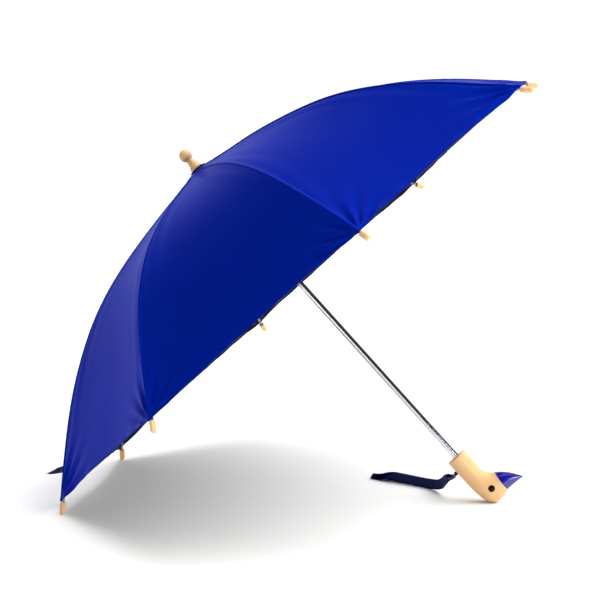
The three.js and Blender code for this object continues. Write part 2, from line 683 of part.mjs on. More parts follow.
function add(parent, name, geometry, material) {
  const mesh = new THREE.Mesh(geometry, material);
  mesh.name = name;
  parent.add(mesh);
  return mesh;
}

function pivot(parent, name, x, y, z) {
  const group = new THREE.Group();
  group.name = name;
  group.position.set(x, y, z);
  parent.add(group);
  return group;
}

add(umbrella, 'shaft_tube', makeShaft(), CHROME);
add(umbrella, 'stop_pin', makeStopPin(), STEEL);
add(umbrella, 'top_notch', makeNotch(), MOULDED);
add(umbrella, 'notch_wire', makeWire(), STEEL).position.z = -NOTCH_PIVOT_DROP;
add(umbrella, 'canopy_crown', makeCrownCloth(), SATIN);
add(umbrella, 'canopy_rosette', makeRosette(), RIBBON);
add(umbrella, 'finial', makeFinial(), BEECH);
const handle = add(umbrella, 'handle', makeHandle(), BEECH);
add(umbrella, 'eye_far', makeEye(1), BEAD);
add(umbrella, 'eye_near', makeEye(-1), BEAD);

const runner = pivot(umbrella, 'runner_set', 0, 0, -RUNNER_DROP);
add(runner, 'runner', makeRunner(), MOULDED);
add(runner, 'runner_wire', makeWire(), STEEL);

const topCatch = pivot(umbrella, 'top_catch_set', 0, 0, topShoulder);
add(topCatch, 'top_catch', makeCatch(1), STEEL);
const bottomCatch = pivot(umbrella, 'bottom_catch_set', 0, 0, bottomShoulder);
add(bottomCatch, 'bottom_catch', makeCatch(-1), STEEL);

const ribGeometry = makeRib();
const stretcherGeometry = makeStretcher();
const rivetGeometry = makeRivet();
const tipGeometry = makeTip();
const panelGeometry = makePanel();
const TIE_RIB = RIB_COUNT / 2 + 1;
const floorTips = [];

for (let k = 1; k <= RIB_COUNT; k += 1) {
  const spoke = new THREE.Group();
  spoke.rotation.z = SECTOR * (2 * k - 1);
  umbrella.add(spoke);

  const fold = pivot(spoke, `spoke_${k}`, PIVOT_RADIUS, 0, -NOTCH_PIVOT_DROP);
  add(fold, `rib_${k}`, ribGeometry, STEEL);
  add(fold, `canopy_panel_${k}`, panelGeometry, SATIN);
  add(fold, `rivet_${k}`, rivetGeometry, STEEL).position.set(rivetPoint.x, 0, rivetPoint.y);
  const tip = add(fold, `rib_tip_${k}`, tipGeometry, BEECH);
  const tipStart = ribPoint(RIB_LENGTH + GAP);
  tip.position.set(tipStart.x, 0, tipStart.y);
  tip.rotation.y = Math.PI / 2 + ribSlope(RIB_LENGTH);
  if (k === TIE_RIB || k === TIE_RIB - 1) floorTips.push(tip);
  if (k === TIE_RIB) {
    add(fold, 'tie_strap', makeTieStrap(), RIBBON);
    add(fold, 'tie_hook_patch', makePatch(HOOK_MIDDLE, false, 0), RIBBON);
    add(fold, 'tie_loop_patch', makePatch(LOOP_MIDDLE, true, -TIE_WIDTH / 2 - PATCH_WIDTH), RIBBON);
  }

  const strut = pivot(spoke, `strut_${k}`, PIVOT_RADIUS + rivetPoint.x, 0, -NOTCH_PIVOT_DROP + rivetPoint.y);
  strut.rotation.y = -STRETCHER_RISE;
  add(strut, `stretcher_${k}`, stretcherGeometry, STEEL);
}

// ---------------------------------------------------------------- how it lies
// Height of a mesh's lowest point over the shaft's crown, with the shaft at a tilt to the floor.
function lowest(mesh, tilt) {
  mesh.updateWorldMatrix(true, false);
  const point = new THREE.Vector3();
  const { position } = mesh.geometry.attributes;
  let low = Infinity;
  for (let i = 0; i < position.count; i += 1) {
    point.fromBufferAttribute(position, i).applyMatrix4(mesh.matrixWorld);
    low = Math.min(low, point.x * Math.cos(tilt) + point.z * Math.sin(tilt));
  }
  return low;
}

// Two neighbouring tips and the head touch the floor together at one tilt of the shaft.
function restTilt() {
  let flat = rad(20);
  let steep = rad(80);
  for (let i = 0; i < 30; i += 1) {
    const middle = (flat + steep) / 2;
    const tipsAreLower = lowest(floorTips[0], middle) < lowest(handle, middle);
    if (tipsAreLower) flat = middle;
    else steep = middle;
  }
  return flat;
}

const tilt = restTilt();
umbrella.rotation.y = tilt - Math.PI / 2;

// ---------------------------------------------------------------- wrist strap
// It leaves the back of the grip, turns on edge, and lies on the floor behind the handle.
function strapRoute() {
  umbrella.updateWorldMatrix(true, true);
  const hole = new THREE.Vector3(-GRIP_RADIUS, 0, strapHoleZ).applyMatrix4(umbrella.matrixWorld);
  const inward = new THREE.Vector3(1, 0, 0).transformDirection(umbrella.matrixWorld);
  const floor = lowest(handle, Math.PI / 2) + STRAP_WIDTH / 2 + GAP;
  const inside = hole.clone().addScaledVector(inward, STRAP_HOLE_DEPTH - GAP);
  const outside = hole.clone().addScaledVector(inward, -6);
  return new THREE.CatmullRomCurve3([
    inside,
    hole,
    outside,
    new THREE.Vector3(hole.x - 13, 17, THREE.MathUtils.lerp(hole.z, floor, 0.4)),
    new THREE.Vector3(hole.x - 22, 38, THREE.MathUtils.lerp(hole.z, floor, 0.85)),
    new THREE.Vector3(hole.x - 37, 56, floor),
    new THREE.Vector3(hole.x - 73, 79, floor),
    new THREE.Vector3(hole.x - 109, 100, floor),
  ]);
}

function makeWristStrap() {
  const route = strapRoute();
  const length = route.getLength();
  const rings = spaced(0, 1, 24).map((share) => {
    const middle = route.getPointAt(share);
    const along = route.getTangentAt(share);
    const side = new THREE.Vector3(-along.y, along.x, 0);
    if (side.length() < 0.3) side.set(0, 1, 0);
    side.normalize().multiplyScalar(STRAP_THICKNESS / 2);
    const opening = THREE.MathUtils.smoothstep(share * length, STRAP_HOLE_DEPTH + 2, STRAP_OPENED);
    const width = THREE.MathUtils.lerp(STRAP_NECK_WIDTH, STRAP_WIDTH, opening);
    const up = new THREE.Vector3().crossVectors(side, along).normalize().multiplyScalar(width / 2);
    return [
      middle.clone().add(side).add(up),
      middle.clone().sub(side).add(up),
      middle.clone().sub(side).sub(up),
      middle.clone().add(side).sub(up),
    ];
  });
  return loft(rings);
}

// ---------------------------------------------------------------- the part, standing on its origin
const part = new THREE.Group();
const stand = new THREE.Group();
part.add(stand);
stand.add(umbrella);
add(stand, 'wrist_strap', makeWristStrap(), RIBBON);

const box = new THREE.Box3().setFromObject(stand, true);
const middle = box.getCenter(new THREE.Vector3());
stand.position.set(-middle.x, -middle.y, -box.min.z);

export default part;
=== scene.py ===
"""Child's stick umbrella with a carved duck-head handle, open and lying on two rib tips and its head.

Every sub-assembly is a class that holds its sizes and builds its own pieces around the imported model.
"""

import json
import logging
import math
from dataclasses import dataclass, field
from enum import Enum
from typing import Any, Callable, Iterable, Sequence

import bmesh
import bpy
import numpy as np
from mathutils import Matrix, Vector, noise

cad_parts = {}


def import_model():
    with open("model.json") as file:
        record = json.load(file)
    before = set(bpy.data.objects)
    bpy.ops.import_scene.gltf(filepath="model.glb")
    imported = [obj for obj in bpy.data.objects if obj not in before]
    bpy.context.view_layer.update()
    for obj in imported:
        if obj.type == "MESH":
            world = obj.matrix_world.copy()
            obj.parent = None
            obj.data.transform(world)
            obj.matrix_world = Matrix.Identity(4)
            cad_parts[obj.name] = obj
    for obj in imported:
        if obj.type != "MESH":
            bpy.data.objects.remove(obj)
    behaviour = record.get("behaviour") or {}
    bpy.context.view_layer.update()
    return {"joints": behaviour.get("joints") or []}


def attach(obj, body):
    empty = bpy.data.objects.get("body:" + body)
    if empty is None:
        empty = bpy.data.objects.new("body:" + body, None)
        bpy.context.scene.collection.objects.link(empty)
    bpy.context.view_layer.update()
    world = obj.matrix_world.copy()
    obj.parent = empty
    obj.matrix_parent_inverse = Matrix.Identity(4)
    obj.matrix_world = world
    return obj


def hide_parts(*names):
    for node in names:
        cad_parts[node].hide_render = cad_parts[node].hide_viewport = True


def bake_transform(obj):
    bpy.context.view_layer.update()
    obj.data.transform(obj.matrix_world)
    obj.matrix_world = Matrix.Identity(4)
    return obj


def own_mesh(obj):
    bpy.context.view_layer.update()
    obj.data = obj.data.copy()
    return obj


LOG = logging.getLogger("umbrella")
MM = 0.001
RIB_COUNT = 8
SECTOR = math.pi / RIB_COUNT
TIE_RIB = 5
SMOOTH_ANGLE = math.radians(32)
GRIP_DROP = 465.27
STRAP_HOLE_DROP = 15.4
SHAFT_BORE = 4.3
BEVEL_STEPS = 2


class Slot(Enum):
    """Material slots of the record."""

    CHROMED_TUBE = "chromed_tube"
    PLATED_STEEL = "plated_steel"
    MOULDED_BLACK = "moulded_black"
    TURNED_BEECH = "turned_beech"
    CANOPY_SATIN = "canopy_satin"
    NAVY_RIBBON = "navy_ribbon"
    HOOK_TAPE = "hook_tape"
    BLACK_BEAD = "black_bead"


class Hold(Enum):
    """How a sheet of cloth is held."""

    STRETCHED = "stretched"
    HUNG = "hung"
    LAID = "laid"


# ---------------------------------------------------------------- nodes and finishes
def linear(code: str, share: float = 1.0) -> tuple[float, float, float, float]:
    """Turns an sRGB hex colour into linear RGBA.

    Args:
        code: The colour, such as "#F2D3A2".
        share: Brightness to multiply the linear colour by.

    Returns:
        The linear colour with an alpha of one.
    """
    channels = [int(code[i:i + 2], 16) / 255 for i in (1, 3, 5)]
    lit = [c / 12.92 if c <= 0.04045 else ((c + 0.055) / 1.055) ** 2.4 for c in channels]
    return (lit[0] * share, lit[1] * share, lit[2] * share, 1.0)


def add_node(tree: bpy.types.NodeTree, kind: str, sockets: dict[Any, Any] | None = None, **settings: Any) -> Any:
    """Adds a node with its settings, input values and links.

    Args:
        tree: The node tree that gets the node.
        kind: Blender's name for the node's type.
        sockets: Input name or index to a plain value, or to an output socket that is linked to it.
        **settings: The node's own properties.

    Returns:
        The new node.
    """
    node = tree.nodes.new(kind)
    for name, value in settings.items():
        setattr(node, name, value)
    for key, value in (sockets or {}).items():
        if isinstance(value, bpy.types.NodeSocket):
            tree.links.new(value, node.inputs[key])
        else:
            node.inputs[key].default_value = value
    return node


@dataclass(frozen=True)
class Finish:
    """A surface finish, made as one material the first time it is asked for."""

    name: str

    def material(self) -> bpy.types.Material:
        """Gives the finish's material, building it if it isn't there yet."""
        found = bpy.data.materials.get(self.name)
        if found:
            return found
        made = bpy.data.materials.new(self.name)
        made.use_nodes = True
        tree = made.node_tree
        tree.nodes.clear()
        shader = add_node(tree, "ShaderNodeBsdfPrincipled")
        output = add_node(tree, "ShaderNodeOutputMaterial")
        tree.links.new(shader.outputs["BSDF"], output.inputs["Surface"])
        self.fill(tree, shader)
        return made

    def fill(self, tree: bpy.types.NodeTree, shader: Any) -> None:
        """Sets the shader's values and adds the nodes that vary them."""
        raise NotImplementedError

    @staticmethod
    def bump(tree: bpy.types.NodeTree, shader: Any, height: Any, depth: float, strength: float = 1.0) -> None:
        """Raises the surface in the shading.

        Args:
            tree: The material's nodes.
            shader: The shader that takes the normal.
            height: Output socket with heights from 0 to 1.
            depth: Height of a full step in metres.
            strength: Share of the effect.
        """
        bumped = add_node(tree, "ShaderNodeBump", {"Height": height, "Distance": depth, "Strength": strength})
        tree.links.new(bumped.outputs["Normal"], shader.inputs["Normal"])


def band_scale(period: float) -> float:
    """Gives the wave texture's scale for stripes with that period, in the unit of its coordinates."""
    return 2 * math.pi / 20 / period


@dataclass(frozen=True)
class CanopySatin(Finish):
    """Polyester satin, tightly woven and piece dyed: a soft broad shine with a deep, even blue."""

    name: str = "woven_polyester_satin"
    face: str = "#00209C"
    shade: str = "#001A8A"
    thread: str = "#0A2CAE"
    glow: str = "#2A6BFF"
    # Thread spacing is drawn at 0.9 mm, six times the real one, so that it can show at all.
    weave: float = 0.9
    stitch: float = 3.2
    stitch_share: float = 0.72

    def fill(self, tree: bpy.types.NodeTree, shader: Any) -> None:
        """Adds a fine twill, dye variation, and a row of stitches beside the seam and along the hem."""
        cloth = add_node(tree, "ShaderNodeUVMap", uv_map="cloth")
        place = add_node(tree, "ShaderNodeTexCoord").outputs["Object"]
        axes = add_node(tree, "ShaderNodeSeparateXYZ", {0: cloth.outputs["UV"]})
        seam = add_node(tree, "ShaderNodeAttribute", attribute_name="seam").outputs["Fac"]
        hem = add_node(tree, "ShaderNodeAttribute", attribute_name="hem").outputs["Fac"]
        dye = add_node(tree, "ShaderNodeTexNoise", {"Vector": place, "Scale": 9.0, "Detail": 3.0})
        colour = add_node(tree, "ShaderNodeMix",
                          {0: dye.outputs["Fac"], 6: linear(self.shade), 7: linear(self.face)},
                          data_type="RGBA")
        beside = self.row(tree, seam, axes.outputs["Y"], 2.4)
        along = self.row(tree, hem, axes.outputs["X"], 4.4)
        rows = add_node(tree, "ShaderNodeMath", {0: beside, 1: along}, operation="MAXIMUM")
        sewn = add_node(tree, "ShaderNodeMix",
                        {0: rows.outputs[0], 6: colour.outputs[2], 7: linear(self.thread)},
                        data_type="RGBA")
        tree.links.new(sewn.outputs[2], shader.inputs["Base Color"])
        twill = add_node(tree, "ShaderNodeTexWave",
                         {"Vector": cloth.outputs["UV"], "Scale": band_scale(self.weave), "Distortion": 0.4},
                         wave_type="BANDS", bands_direction="DIAGONAL")
        raised = add_node(tree, "ShaderNodeMath", {0: rows.outputs[0], 1: 3.0, 2: twill.outputs["Fac"]},
                          operation="MULTIPLY_ADD")
        self.bump(tree, shader, raised.outputs[0], 0.02 * MM, 0.5)
        rough = add_node(tree, "ShaderNodeMapRange", {0: dye.outputs["Fac"], 3: 0.36, 4: 0.44})
        tree.links.new(rough.outputs[0], shader.inputs["Roughness"])
        shader.inputs["Specular IOR Level"].default_value = 0.02
        shader.inputs["Specular Tint"].default_value = linear(self.glow)
        shader.inputs["Metallic"].default_value = 0.3
        shader.inputs["Sheen Weight"].default_value = 0.1
        shader.inputs["Sheen Roughness"].default_value = 0.4
        shader.inputs["Sheen Tint"].default_value = linear(self.glow)

    def row(self, tree: bpy.types.NodeTree, off: Any, along: Any, middle: float) -> Any:
        """Draws one row of stitches.

        Args:
            tree: The material's nodes.
            off: Distance off the seam or hem, in millimetres.
            along: Distance along it, in millimetres.
            middle: The row's own distance off the seam or hem.

        Returns:
            An output that is 1 on a stitch and 0 elsewhere.
        """
        near = add_node(tree, "ShaderNodeMath", {0: off, 1: middle, 2: 0.3}, operation="COMPARE")
        share = add_node(tree, "ShaderNodeMath", {0: along, 1: self.stitch}, operation="FLOORED_MODULO")
        dash = add_node(tree, "ShaderNodeMath", {0: share.outputs[0], 1: self.stitch * self.stitch_share},
                        operation="LESS_THAN")
        shown = add_node(tree, "ShaderNodeMath", {0: near.outputs[0], 1: dash.outputs[0]},
                         operation="MULTIPLY")
        return shown.outputs[0]


@dataclass(frozen=True)
class ShadedUnderside(Finish):
    """The satin's back, drawn nearly black as painted shade for the shade under the canopy: matt, the weave just
    showing.
    """

    name: str = "painted_shade_underside"
    # Painted shade: both colours are near black for the shade under the canopy, not a colour of the cloth.
    face: str = "#05062A"
    dark: str = "#03031A"
    weave: float = 1.2

    def fill(self, tree: bpy.types.NodeTree, shader: Any) -> None:
        """Shows the weave, at 1.2 mm instead of the real 0.15 mm, through painted shade that varies in random
        patches.
        """
        cloth = add_node(tree, "ShaderNodeUVMap", uv_map="cloth")
        place = add_node(tree, "ShaderNodeTexCoord").outputs["Object"]
        shade_noise = add_node(tree, "ShaderNodeTexNoise", {"Vector": place, "Scale": 14.0, "Detail": 2.0})
        colour = add_node(tree, "ShaderNodeMix",
                          {0: shade_noise.outputs["Fac"], 6: linear(self.dark), 7: linear(self.face)},
                          data_type="RGBA")
        tree.links.new(colour.outputs[2], shader.inputs["Base Color"])
        weave = add_node(tree, "ShaderNodeTexWave",
                         {"Vector": cloth.outputs["UV"], "Scale": band_scale(self.weave), "Distortion": 0.4},
                         wave_type="BANDS", bands_direction="DIAGONAL")
        self.bump(tree, shader, weave.outputs["Fac"], 0.02 * MM, 0.4)
        shader.inputs["Roughness"].default_value = 0.6
        shader.inputs["Specular IOR Level"].default_value = 0.2


@dataclass(frozen=True)
class TurnedBeech(Finish):
    """European beech, turned and sanded, under clear satin lacquer: pale, warm, with short dark flecks."""

    name: str = "lacquered_turned_beech"
    light: str = "#EFC691"
    dark: str = "#D9A468"
    fleck: str = "#B98450"

    def fill(self, tree: bpy.types.NodeTree, shader: Any) -> None:
        """Runs the growth rings and ray flecks along the blank that each piece was turned from."""
        blank = add_node(tree, "ShaderNodeAttribute", attribute_name="blank").outputs["Vector"]
        along = add_node(tree, "ShaderNodeMapping", {"Vector": blank, "Scale": (1.0, 1.0, 0.08)})
        grain = add_node(tree, "ShaderNodeTexNoise",
                         {"Vector": along.outputs[0], "Scale": 0.28, "Detail": 4.0, "Distortion": 0.6})
        lines = add_node(tree, "ShaderNodeTexNoise", {"Vector": along.outputs[0], "Scale": 2.2, "Detail": 2.0})
        flecks = add_node(tree, "ShaderNodeMapRange", {0: lines.outputs["Fac"], 1: 0.62, 2: 0.75, 4: 0.4})
        wood = add_node(tree, "ShaderNodeMix",
                        {0: grain.outputs["Fac"], 6: linear(self.dark), 7: linear(self.light)},
                        data_type="RGBA")
        flecked = add_node(tree, "ShaderNodeMix",
                           {0: flecks.outputs[0], 6: wood.outputs[2], 7: linear(self.fleck)}, data_type="RGBA")
        tree.links.new(flecked.outputs[2], shader.inputs["Base Color"])
        rough = add_node(tree, "ShaderNodeMapRange", {0: lines.outputs["Fac"], 3: 0.34, 4: 0.5})
        tree.links.new(rough.outputs[0], shader.inputs["Roughness"])
        self.bump(tree, shader, lines.outputs["Fac"], 0.05 * MM, 0.4)
        shader.inputs["Coat Weight"].default_value = 0.35
        shader.inputs["Coat Roughness"].default_value = 0.22


@dataclass(frozen=True)
class BeakEnamel(Finish):
    """Gloss enamel brushed over the beech: deep blue, hard highlights, slight brush waves."""

    name: str = "brushed_gloss_enamel"
    face: str = "#150D94"
    deep: str = "#0F087A"

    def fill(self, tree: bpy.types.NodeTree, shader: Any) -> None:
        """Adds a faint variation of colour and the waves that the brush leaves."""
        place = add_node(tree, "ShaderNodeTexCoord").outputs["Object"]
        waves = add_node(tree, "ShaderNodeTexNoise", {"Vector": place, "Scale": 260.0, "Detail": 1.0})
        colour = add_node(tree, "ShaderNodeMix",
                          {0: waves.outputs["Fac"], 6: linear(self.deep), 7: linear(self.face)},
                          data_type="RGBA")
        tree.links.new(colour.outputs[2], shader.inputs["Base Color"])
        rough = add_node(tree, "ShaderNodeMapRange", {0: waves.outputs["Fac"], 3: 0.1, 4: 0.2})
        tree.links.new(rough.outputs[0], shader.inputs["Roughness"])
        self.bump(tree, shader, waves.outputs["Fac"], 0.06 * MM, 0.35)
        shader.inputs["Coat Weight"].default_value = 0.8
        shader.inputs["Coat Roughness"].default_value = 0.06


@dataclass(frozen=True)
class ChromePlate(Finish):
    """Steel tube, drawn and chrome plated: mirror streaks along it, faintly blurred by drawing lines."""

    name: str = "polished_chrome_plate"
    face: str = "#D6D8DE"

    def fill(self, tree: bpy.types.NodeTree, shader: Any) -> None:
        """Stretches a fine noise along the tube for its drawing lines."""
        blank = add_node(tree, "ShaderNodeAttribute", attribute_name="blank").outputs["Vector"]
        along = add_node(tree, "ShaderNodeMapping", {"Vector": blank, "Scale": (1.0, 1.0, 0.02)})
        lines = add_node(tree, "ShaderNodeTexNoise", {"Vector": along.outputs[0], "Scale": 0.5, "Detail": 1.0})
        rough = add_node(tree, "ShaderNodeMapRange", {0: lines.outputs["Fac"], 3: 0.06, 4: 0.11})
        tree.links.new(rough.outputs[0], shader.inputs["Roughness"])
        shader.inputs["Base Color"].default_value = linear(self.face)
        shader.inputs["Metallic"].default_value = 1.0


@dataclass(frozen=True)
class PlatedSteel(Finish):
    """Spring steel strip, rolled and bright zinc plated: grey, soft sheen, faint clouding."""

    name: str = "zinc_plated_strip"
    light: str = "#B4B7BC"
    dark: str = "#8A8D93"

    def fill(self, tree: bpy.types.NodeTree, shader: Any) -> None:
        """Clouds the plating's colour and roughness."""
        place = add_node(tree, "ShaderNodeTexCoord").outputs["Object"]
        cloud = add_node(tree, "ShaderNodeTexNoise", {"Vector": place, "Scale": 160.0, "Detail": 4.0})
        colour = add_node(tree, "ShaderNodeMix",
                          {0: cloud.outputs["Fac"], 6: linear(self.dark), 7: linear(self.light)},
                          data_type="RGBA")
        tree.links.new(colour.outputs[2], shader.inputs["Base Color"])
        rough = add_node(tree, "ShaderNodeMapRange", {0: cloud.outputs["Fac"], 3: 0.24, 4: 0.42})
        tree.links.new(rough.outputs[0], shader.inputs["Roughness"])
        shader.inputs["Metallic"].default_value = 1.0


@dataclass(frozen=True)
class MouldedAcetal(Finish):
    """Black acetal, injection moulded in a spark-eroded tool: satin black with a fine even texture."""

    name: str = "moulded_black_acetal"
    face: str = "#15161B"
    worn: str = "#24262C"

    def fill(self, tree: bpy.types.NodeTree, shader: Any) -> None:
        """Adds the mould's fine texture; its 0.4 mm grit is drawn coarser than the real one."""
        place = add_node(tree, "ShaderNodeTexCoord").outputs["Object"]
        grit = add_node(tree, "ShaderNodeTexNoise", {"Vector": place, "Scale": 2500.0, "Detail": 2.0})
        wear = add_node(tree, "ShaderNodeTexNoise", {"Vector": place, "Scale": 120.0, "Detail": 3.0})
        colour = add_node(tree, "ShaderNodeMix",
                          {0: wear.outputs["Fac"], 6: linear(self.face), 7: linear(self.worn)},
                          data_type="RGBA")
        tree.links.new(colour.outputs[2], shader.inputs["Base Color"])
        rough = add_node(tree, "ShaderNodeMapRange", {0: grit.outputs["Fac"], 3: 0.38, 4: 0.55})
        tree.links.new(rough.outputs[0], shader.inputs["Roughness"])
        self.bump(tree, shader, grit.outputs["Fac"], 0.03 * MM, 0.5)


@dataclass(frozen=True)
class WovenRibbon(Finish):
    """Polyester grosgrain ribbon, woven with heavy weft: dark navy, cross ribs, a soft low shine."""

    name: str = "woven_grosgrain_ribbon"
    face: str = "#0A1378"
    # Painted shade: the darker colour in the valleys between the weft ribs.
    valley_shade: str = "#04073A"
    rib: float = 1.1

    def fill(self, tree: bpy.types.NodeTree, shader: Any) -> None:
        """Draws the weft ribs across the ribbon, darkened between them as painted shade; the ribs are 0.6 mm apart on
        the real one.
        """
        cloth = add_node(tree, "ShaderNodeUVMap", uv_map="cloth")
        ribs = add_node(tree, "ShaderNodeTexWave",
                        {"Vector": cloth.outputs["UV"], "Scale": band_scale(self.rib), "Distortion": 0.3},
                        wave_type="BANDS", bands_direction="Y")
        fuzz = add_node(tree, "ShaderNodeTexNoise", {"Vector": cloth.outputs["UV"], "Scale": 0.7, "Detail": 3.0})
        blend = add_node(tree, "ShaderNodeMath", {0: ribs.outputs["Fac"], 1: fuzz.outputs["Fac"]},
                         operation="MULTIPLY")
        colour = add_node(tree, "ShaderNodeMix",
                          {0: blend.outputs[0], 6: linear(self.valley_shade), 7: linear(self.face)},
                          data_type="RGBA")
        tree.links.new(colour.outputs[2], shader.inputs["Base Color"])
        self.bump(tree, shader, ribs.outputs["Fac"], 0.12 * MM, 0.6)
        shader.inputs["Roughness"].default_value = 0.55
        shader.inputs["Specular IOR Level"].default_value = 0.15
        shader.inputs["Sheen Weight"].default_value = 0.04
        shader.inputs["Sheen Tint"].default_value = linear("#3B57D0")


@dataclass(frozen=True)
class HookTape(Finish):
    """Nylon hook-and-loop tape, woven then cut: matt, dark and fuzzy with tiny rows of hooks."""

    name: str = "woven_hook_tape"
    face: str = "#0A0E4C"
    dark: str = "#04061F"

    def fill(self, tree: bpy.types.NodeTree, shader: Any) -> None:
        """Draws the hooks as cells 0.9 mm apart, about the real spacing."""
        cloth = add_node(tree, "ShaderNodeUVMap", uv_map="cloth")
        cells = add_node(tree, "ShaderNodeTexVoronoi", {"Vector": cloth.outputs["UV"], "Scale": 1.1})
        colour = add_node(tree, "ShaderNodeMix",
                          {0: cells.outputs["Distance"], 6: linear(self.face), 7: linear(self.dark)},
                          data_type="RGBA")
        tree.links.new(colour.outputs[2], shader.inputs["Base Color"])
        self.bump(tree, shader, cells.outputs["Distance"], 0.3 * MM, 0.8)
        shader.inputs["Roughness"].default_value = 0.85
        shader.inputs["Sheen Weight"].default_value = 0.4


@dataclass(frozen=True)
class PolishedBead(Finish):
    """Black glass-filled resin bead, tumbled and polished: nearly a mirror, with a small hard highlight."""

    name: str = "polished_resin_bead"
    face: str = "#0A0807"

    def fill(self, tree: bpy.types.NodeTree, shader: Any) -> None:
        """Leaves the polish slightly uneven."""
        place = add_node(tree, "ShaderNodeTexCoord").outputs["Object"]
        haze = add_node(tree, "ShaderNodeTexNoise", {"Vector": place, "Scale": 700.0})
        rough = add_node(tree, "ShaderNodeMapRange", {0: haze.outputs["Fac"], 3: 0.04, 4: 0.12})
        tree.links.new(rough.outputs[0], shader.inputs["Roughness"])
        shader.inputs["Base Color"].default_value = linear(self.face)
        shader.inputs["Specular IOR Level"].default_value = 0.15


@dataclass(frozen=True)
class StudioFloor(Finish):
    """Matt white laminate sheet, rolled out flat: plain and pale, with hardly any shine."""

    name: str = "matt_white_laminate"
    face: str = "#F7F7F6"
    shade: str = "#F2F2F1"

    def fill(self, tree: bpy.types.NodeTree, shader: Any) -> None:
        """Varies the white slightly over half a metre."""
        place = add_node(tree, "ShaderNodeTexCoord").outputs["Object"]
        cloud = add_node(tree, "ShaderNodeTexNoise", {"Vector": place, "Scale": 2.0})
        colour = add_node(tree, "ShaderNodeMix",
                          {0: cloud.outputs["Fac"], 6: linear(self.shade), 7: linear(self.face)},
                          data_type="RGBA")
        tree.links.new(colour.outputs[2], shader.inputs["Base Color"])
        shader.inputs["Roughness"].default_value = 0.9


SATIN = CanopySatin()
UNDERSIDE_SHADE = ShadedUnderside()
BEECH = TurnedBeech()
ENAMEL = BeakEnamel()
CHROME = ChromePlate()
STEEL = PlatedSteel()
ACETAL = MouldedAcetal()
RIBBON = WovenRibbon()
HOOKS = HookTape()
BEAD = PolishedBead()
LAMINATE = StudioFloor()


# ---------------------------------------------------------------- modelling helpers
def only(piece: bpy.types.Object) -> None:
    """Makes a piece the only selected and active object, out of edit mode."""
    if bpy.context.object and bpy.context.object.mode != "OBJECT":
        bpy.ops.object.mode_set(mode="OBJECT")
    bpy.ops.object.select_all(action="DESELECT")
    piece.select_set(True)
    bpy.context.view_layer.objects.active = piece


def select_vertices(piece: bpy.types.Object, wanted: Iterable[int]) -> None:
    """Selects those vertices in edit mode, with the edges and faces that lie wholly between them."""
    mesh = bmesh.from_edit_mesh(piece.data)
    mesh.verts.ensure_lookup_table()
    for part in (*mesh.verts, *mesh.edges, *mesh.faces):
        part.select = False
    for index in wanted:
        mesh.verts[index].select = True
    mesh.select_flush(True)
    bmesh.update_edit_mesh(piece.data)


def select_faces(piece: bpy.types.Object, test: Callable[[Any], bool]) -> None:
    """Selects the faces that pass a test in edit mode."""
    mesh = bmesh.from_edit_mesh(piece.data)
    for part in (*mesh.verts, *mesh.edges, *mesh.faces):
        part.select = False
    for face in mesh.faces:
        if test(face):
            face.select_set(True)
    mesh.select_flush_mode()
    bmesh.update_edit_mesh(piece.data)


@dataclass(frozen=True)
class Ring:
    """One oval section of a turned or carved piece, turned about Y from +X towards +Z."""

    centre: tuple[float, float, float]
    half_x: float
    half_y: float
    turn: float = 0.0


def stack_rings(name: str, rings: Sequence[Ring], sides: int = 48, pointed: bool = False) -> bpy.types.Object:
    """Extrudes a disc through one section after another and lays each section in its place.

    Args:
        name: The piece's name.
        rings: Its sections, from one end to the other.
        sides: Corners of each section.
        pointed: Whether the last section closes in one point.

    Returns:
        The closed piece, in its own frame.
    """
    bpy.ops.object.select_all(action="DESELECT")
    bpy.ops.mesh.primitive_circle_add(vertices=sides, radius=1.0, fill_type="NGON", location=(0, 0, 0))
    piece = bpy.context.object
    piece.name = piece.data.name = name
    bpy.context.tool_settings.mesh_select_mode = (True, False, False)
    bpy.ops.object.mode_set(mode="EDIT")
    bpy.ops.mesh.select_all(action="SELECT")
    for _ in rings[1:]:
        bpy.ops.mesh.extrude_region_move(TRANSFORM_OT_translate={"value": (0, 0, 1)})
    rows: list[list[int]] = [[] for _ in rings]
    for vertex in bmesh.from_edit_mesh(piece.data).verts:
        rows[round(vertex.co.z)].append(vertex.index)
    for level, ring in enumerate(rings):
        middle = (0, 0, level)
        select_vertices(piece, rows[level])
        bpy.ops.transform.resize(value=(ring.half_x, ring.half_y, 1), center_override=middle)
        if ring.turn:
            bpy.ops.transform.rotate(value=ring.turn, orient_axis="Y", center_override=middle)
        bpy.ops.transform.translate(value=Vector(ring.centre) - Vector(middle))
    if pointed:
        bpy.ops.mesh.merge(type="CENTER")
    bpy.ops.mesh.select_all(action="SELECT")
    bpy.ops.mesh.normals_make_consistent(inside=False)
    bpy.ops.object.mode_set(mode="OBJECT")
    return piece


def turned_rings(profile: Sequence[tuple[float, float]]) -> list[Ring]:
    """Makes round sections about Z from radius and height pairs in millimetres."""
    return [Ring((0, 0, height * MM), radius * MM, radius * MM) for radius, height in profile]


def sink_bore(piece: bpy.types.Object, height: float, radius: float, face_radius: float, depth: float) -> None:
    """Insets the flat end of a turned piece and pushes the inner disc in.

    Args:
        piece: The piece, in its own frame.
        height: Height of the flat end.
        radius: The bore's radius.
        face_radius: The flat end's radius.
        depth: How far the bore's floor moves along Z.
    """
    only(piece)
    bpy.ops.object.mode_set(mode="EDIT")
    select_faces(piece, lambda face: (len(face.verts) > 4
                                      and abs(face.calc_center_median().z - height) < 0.1 * MM))
    bpy.ops.mesh.inset(thickness=face_radius - radius, depth=0)
    bpy.ops.mesh.extrude_region_move(TRANSFORM_OT_translate={"value": (0, 0, depth)})
    bpy.ops.object.mode_set(mode="OBJECT")


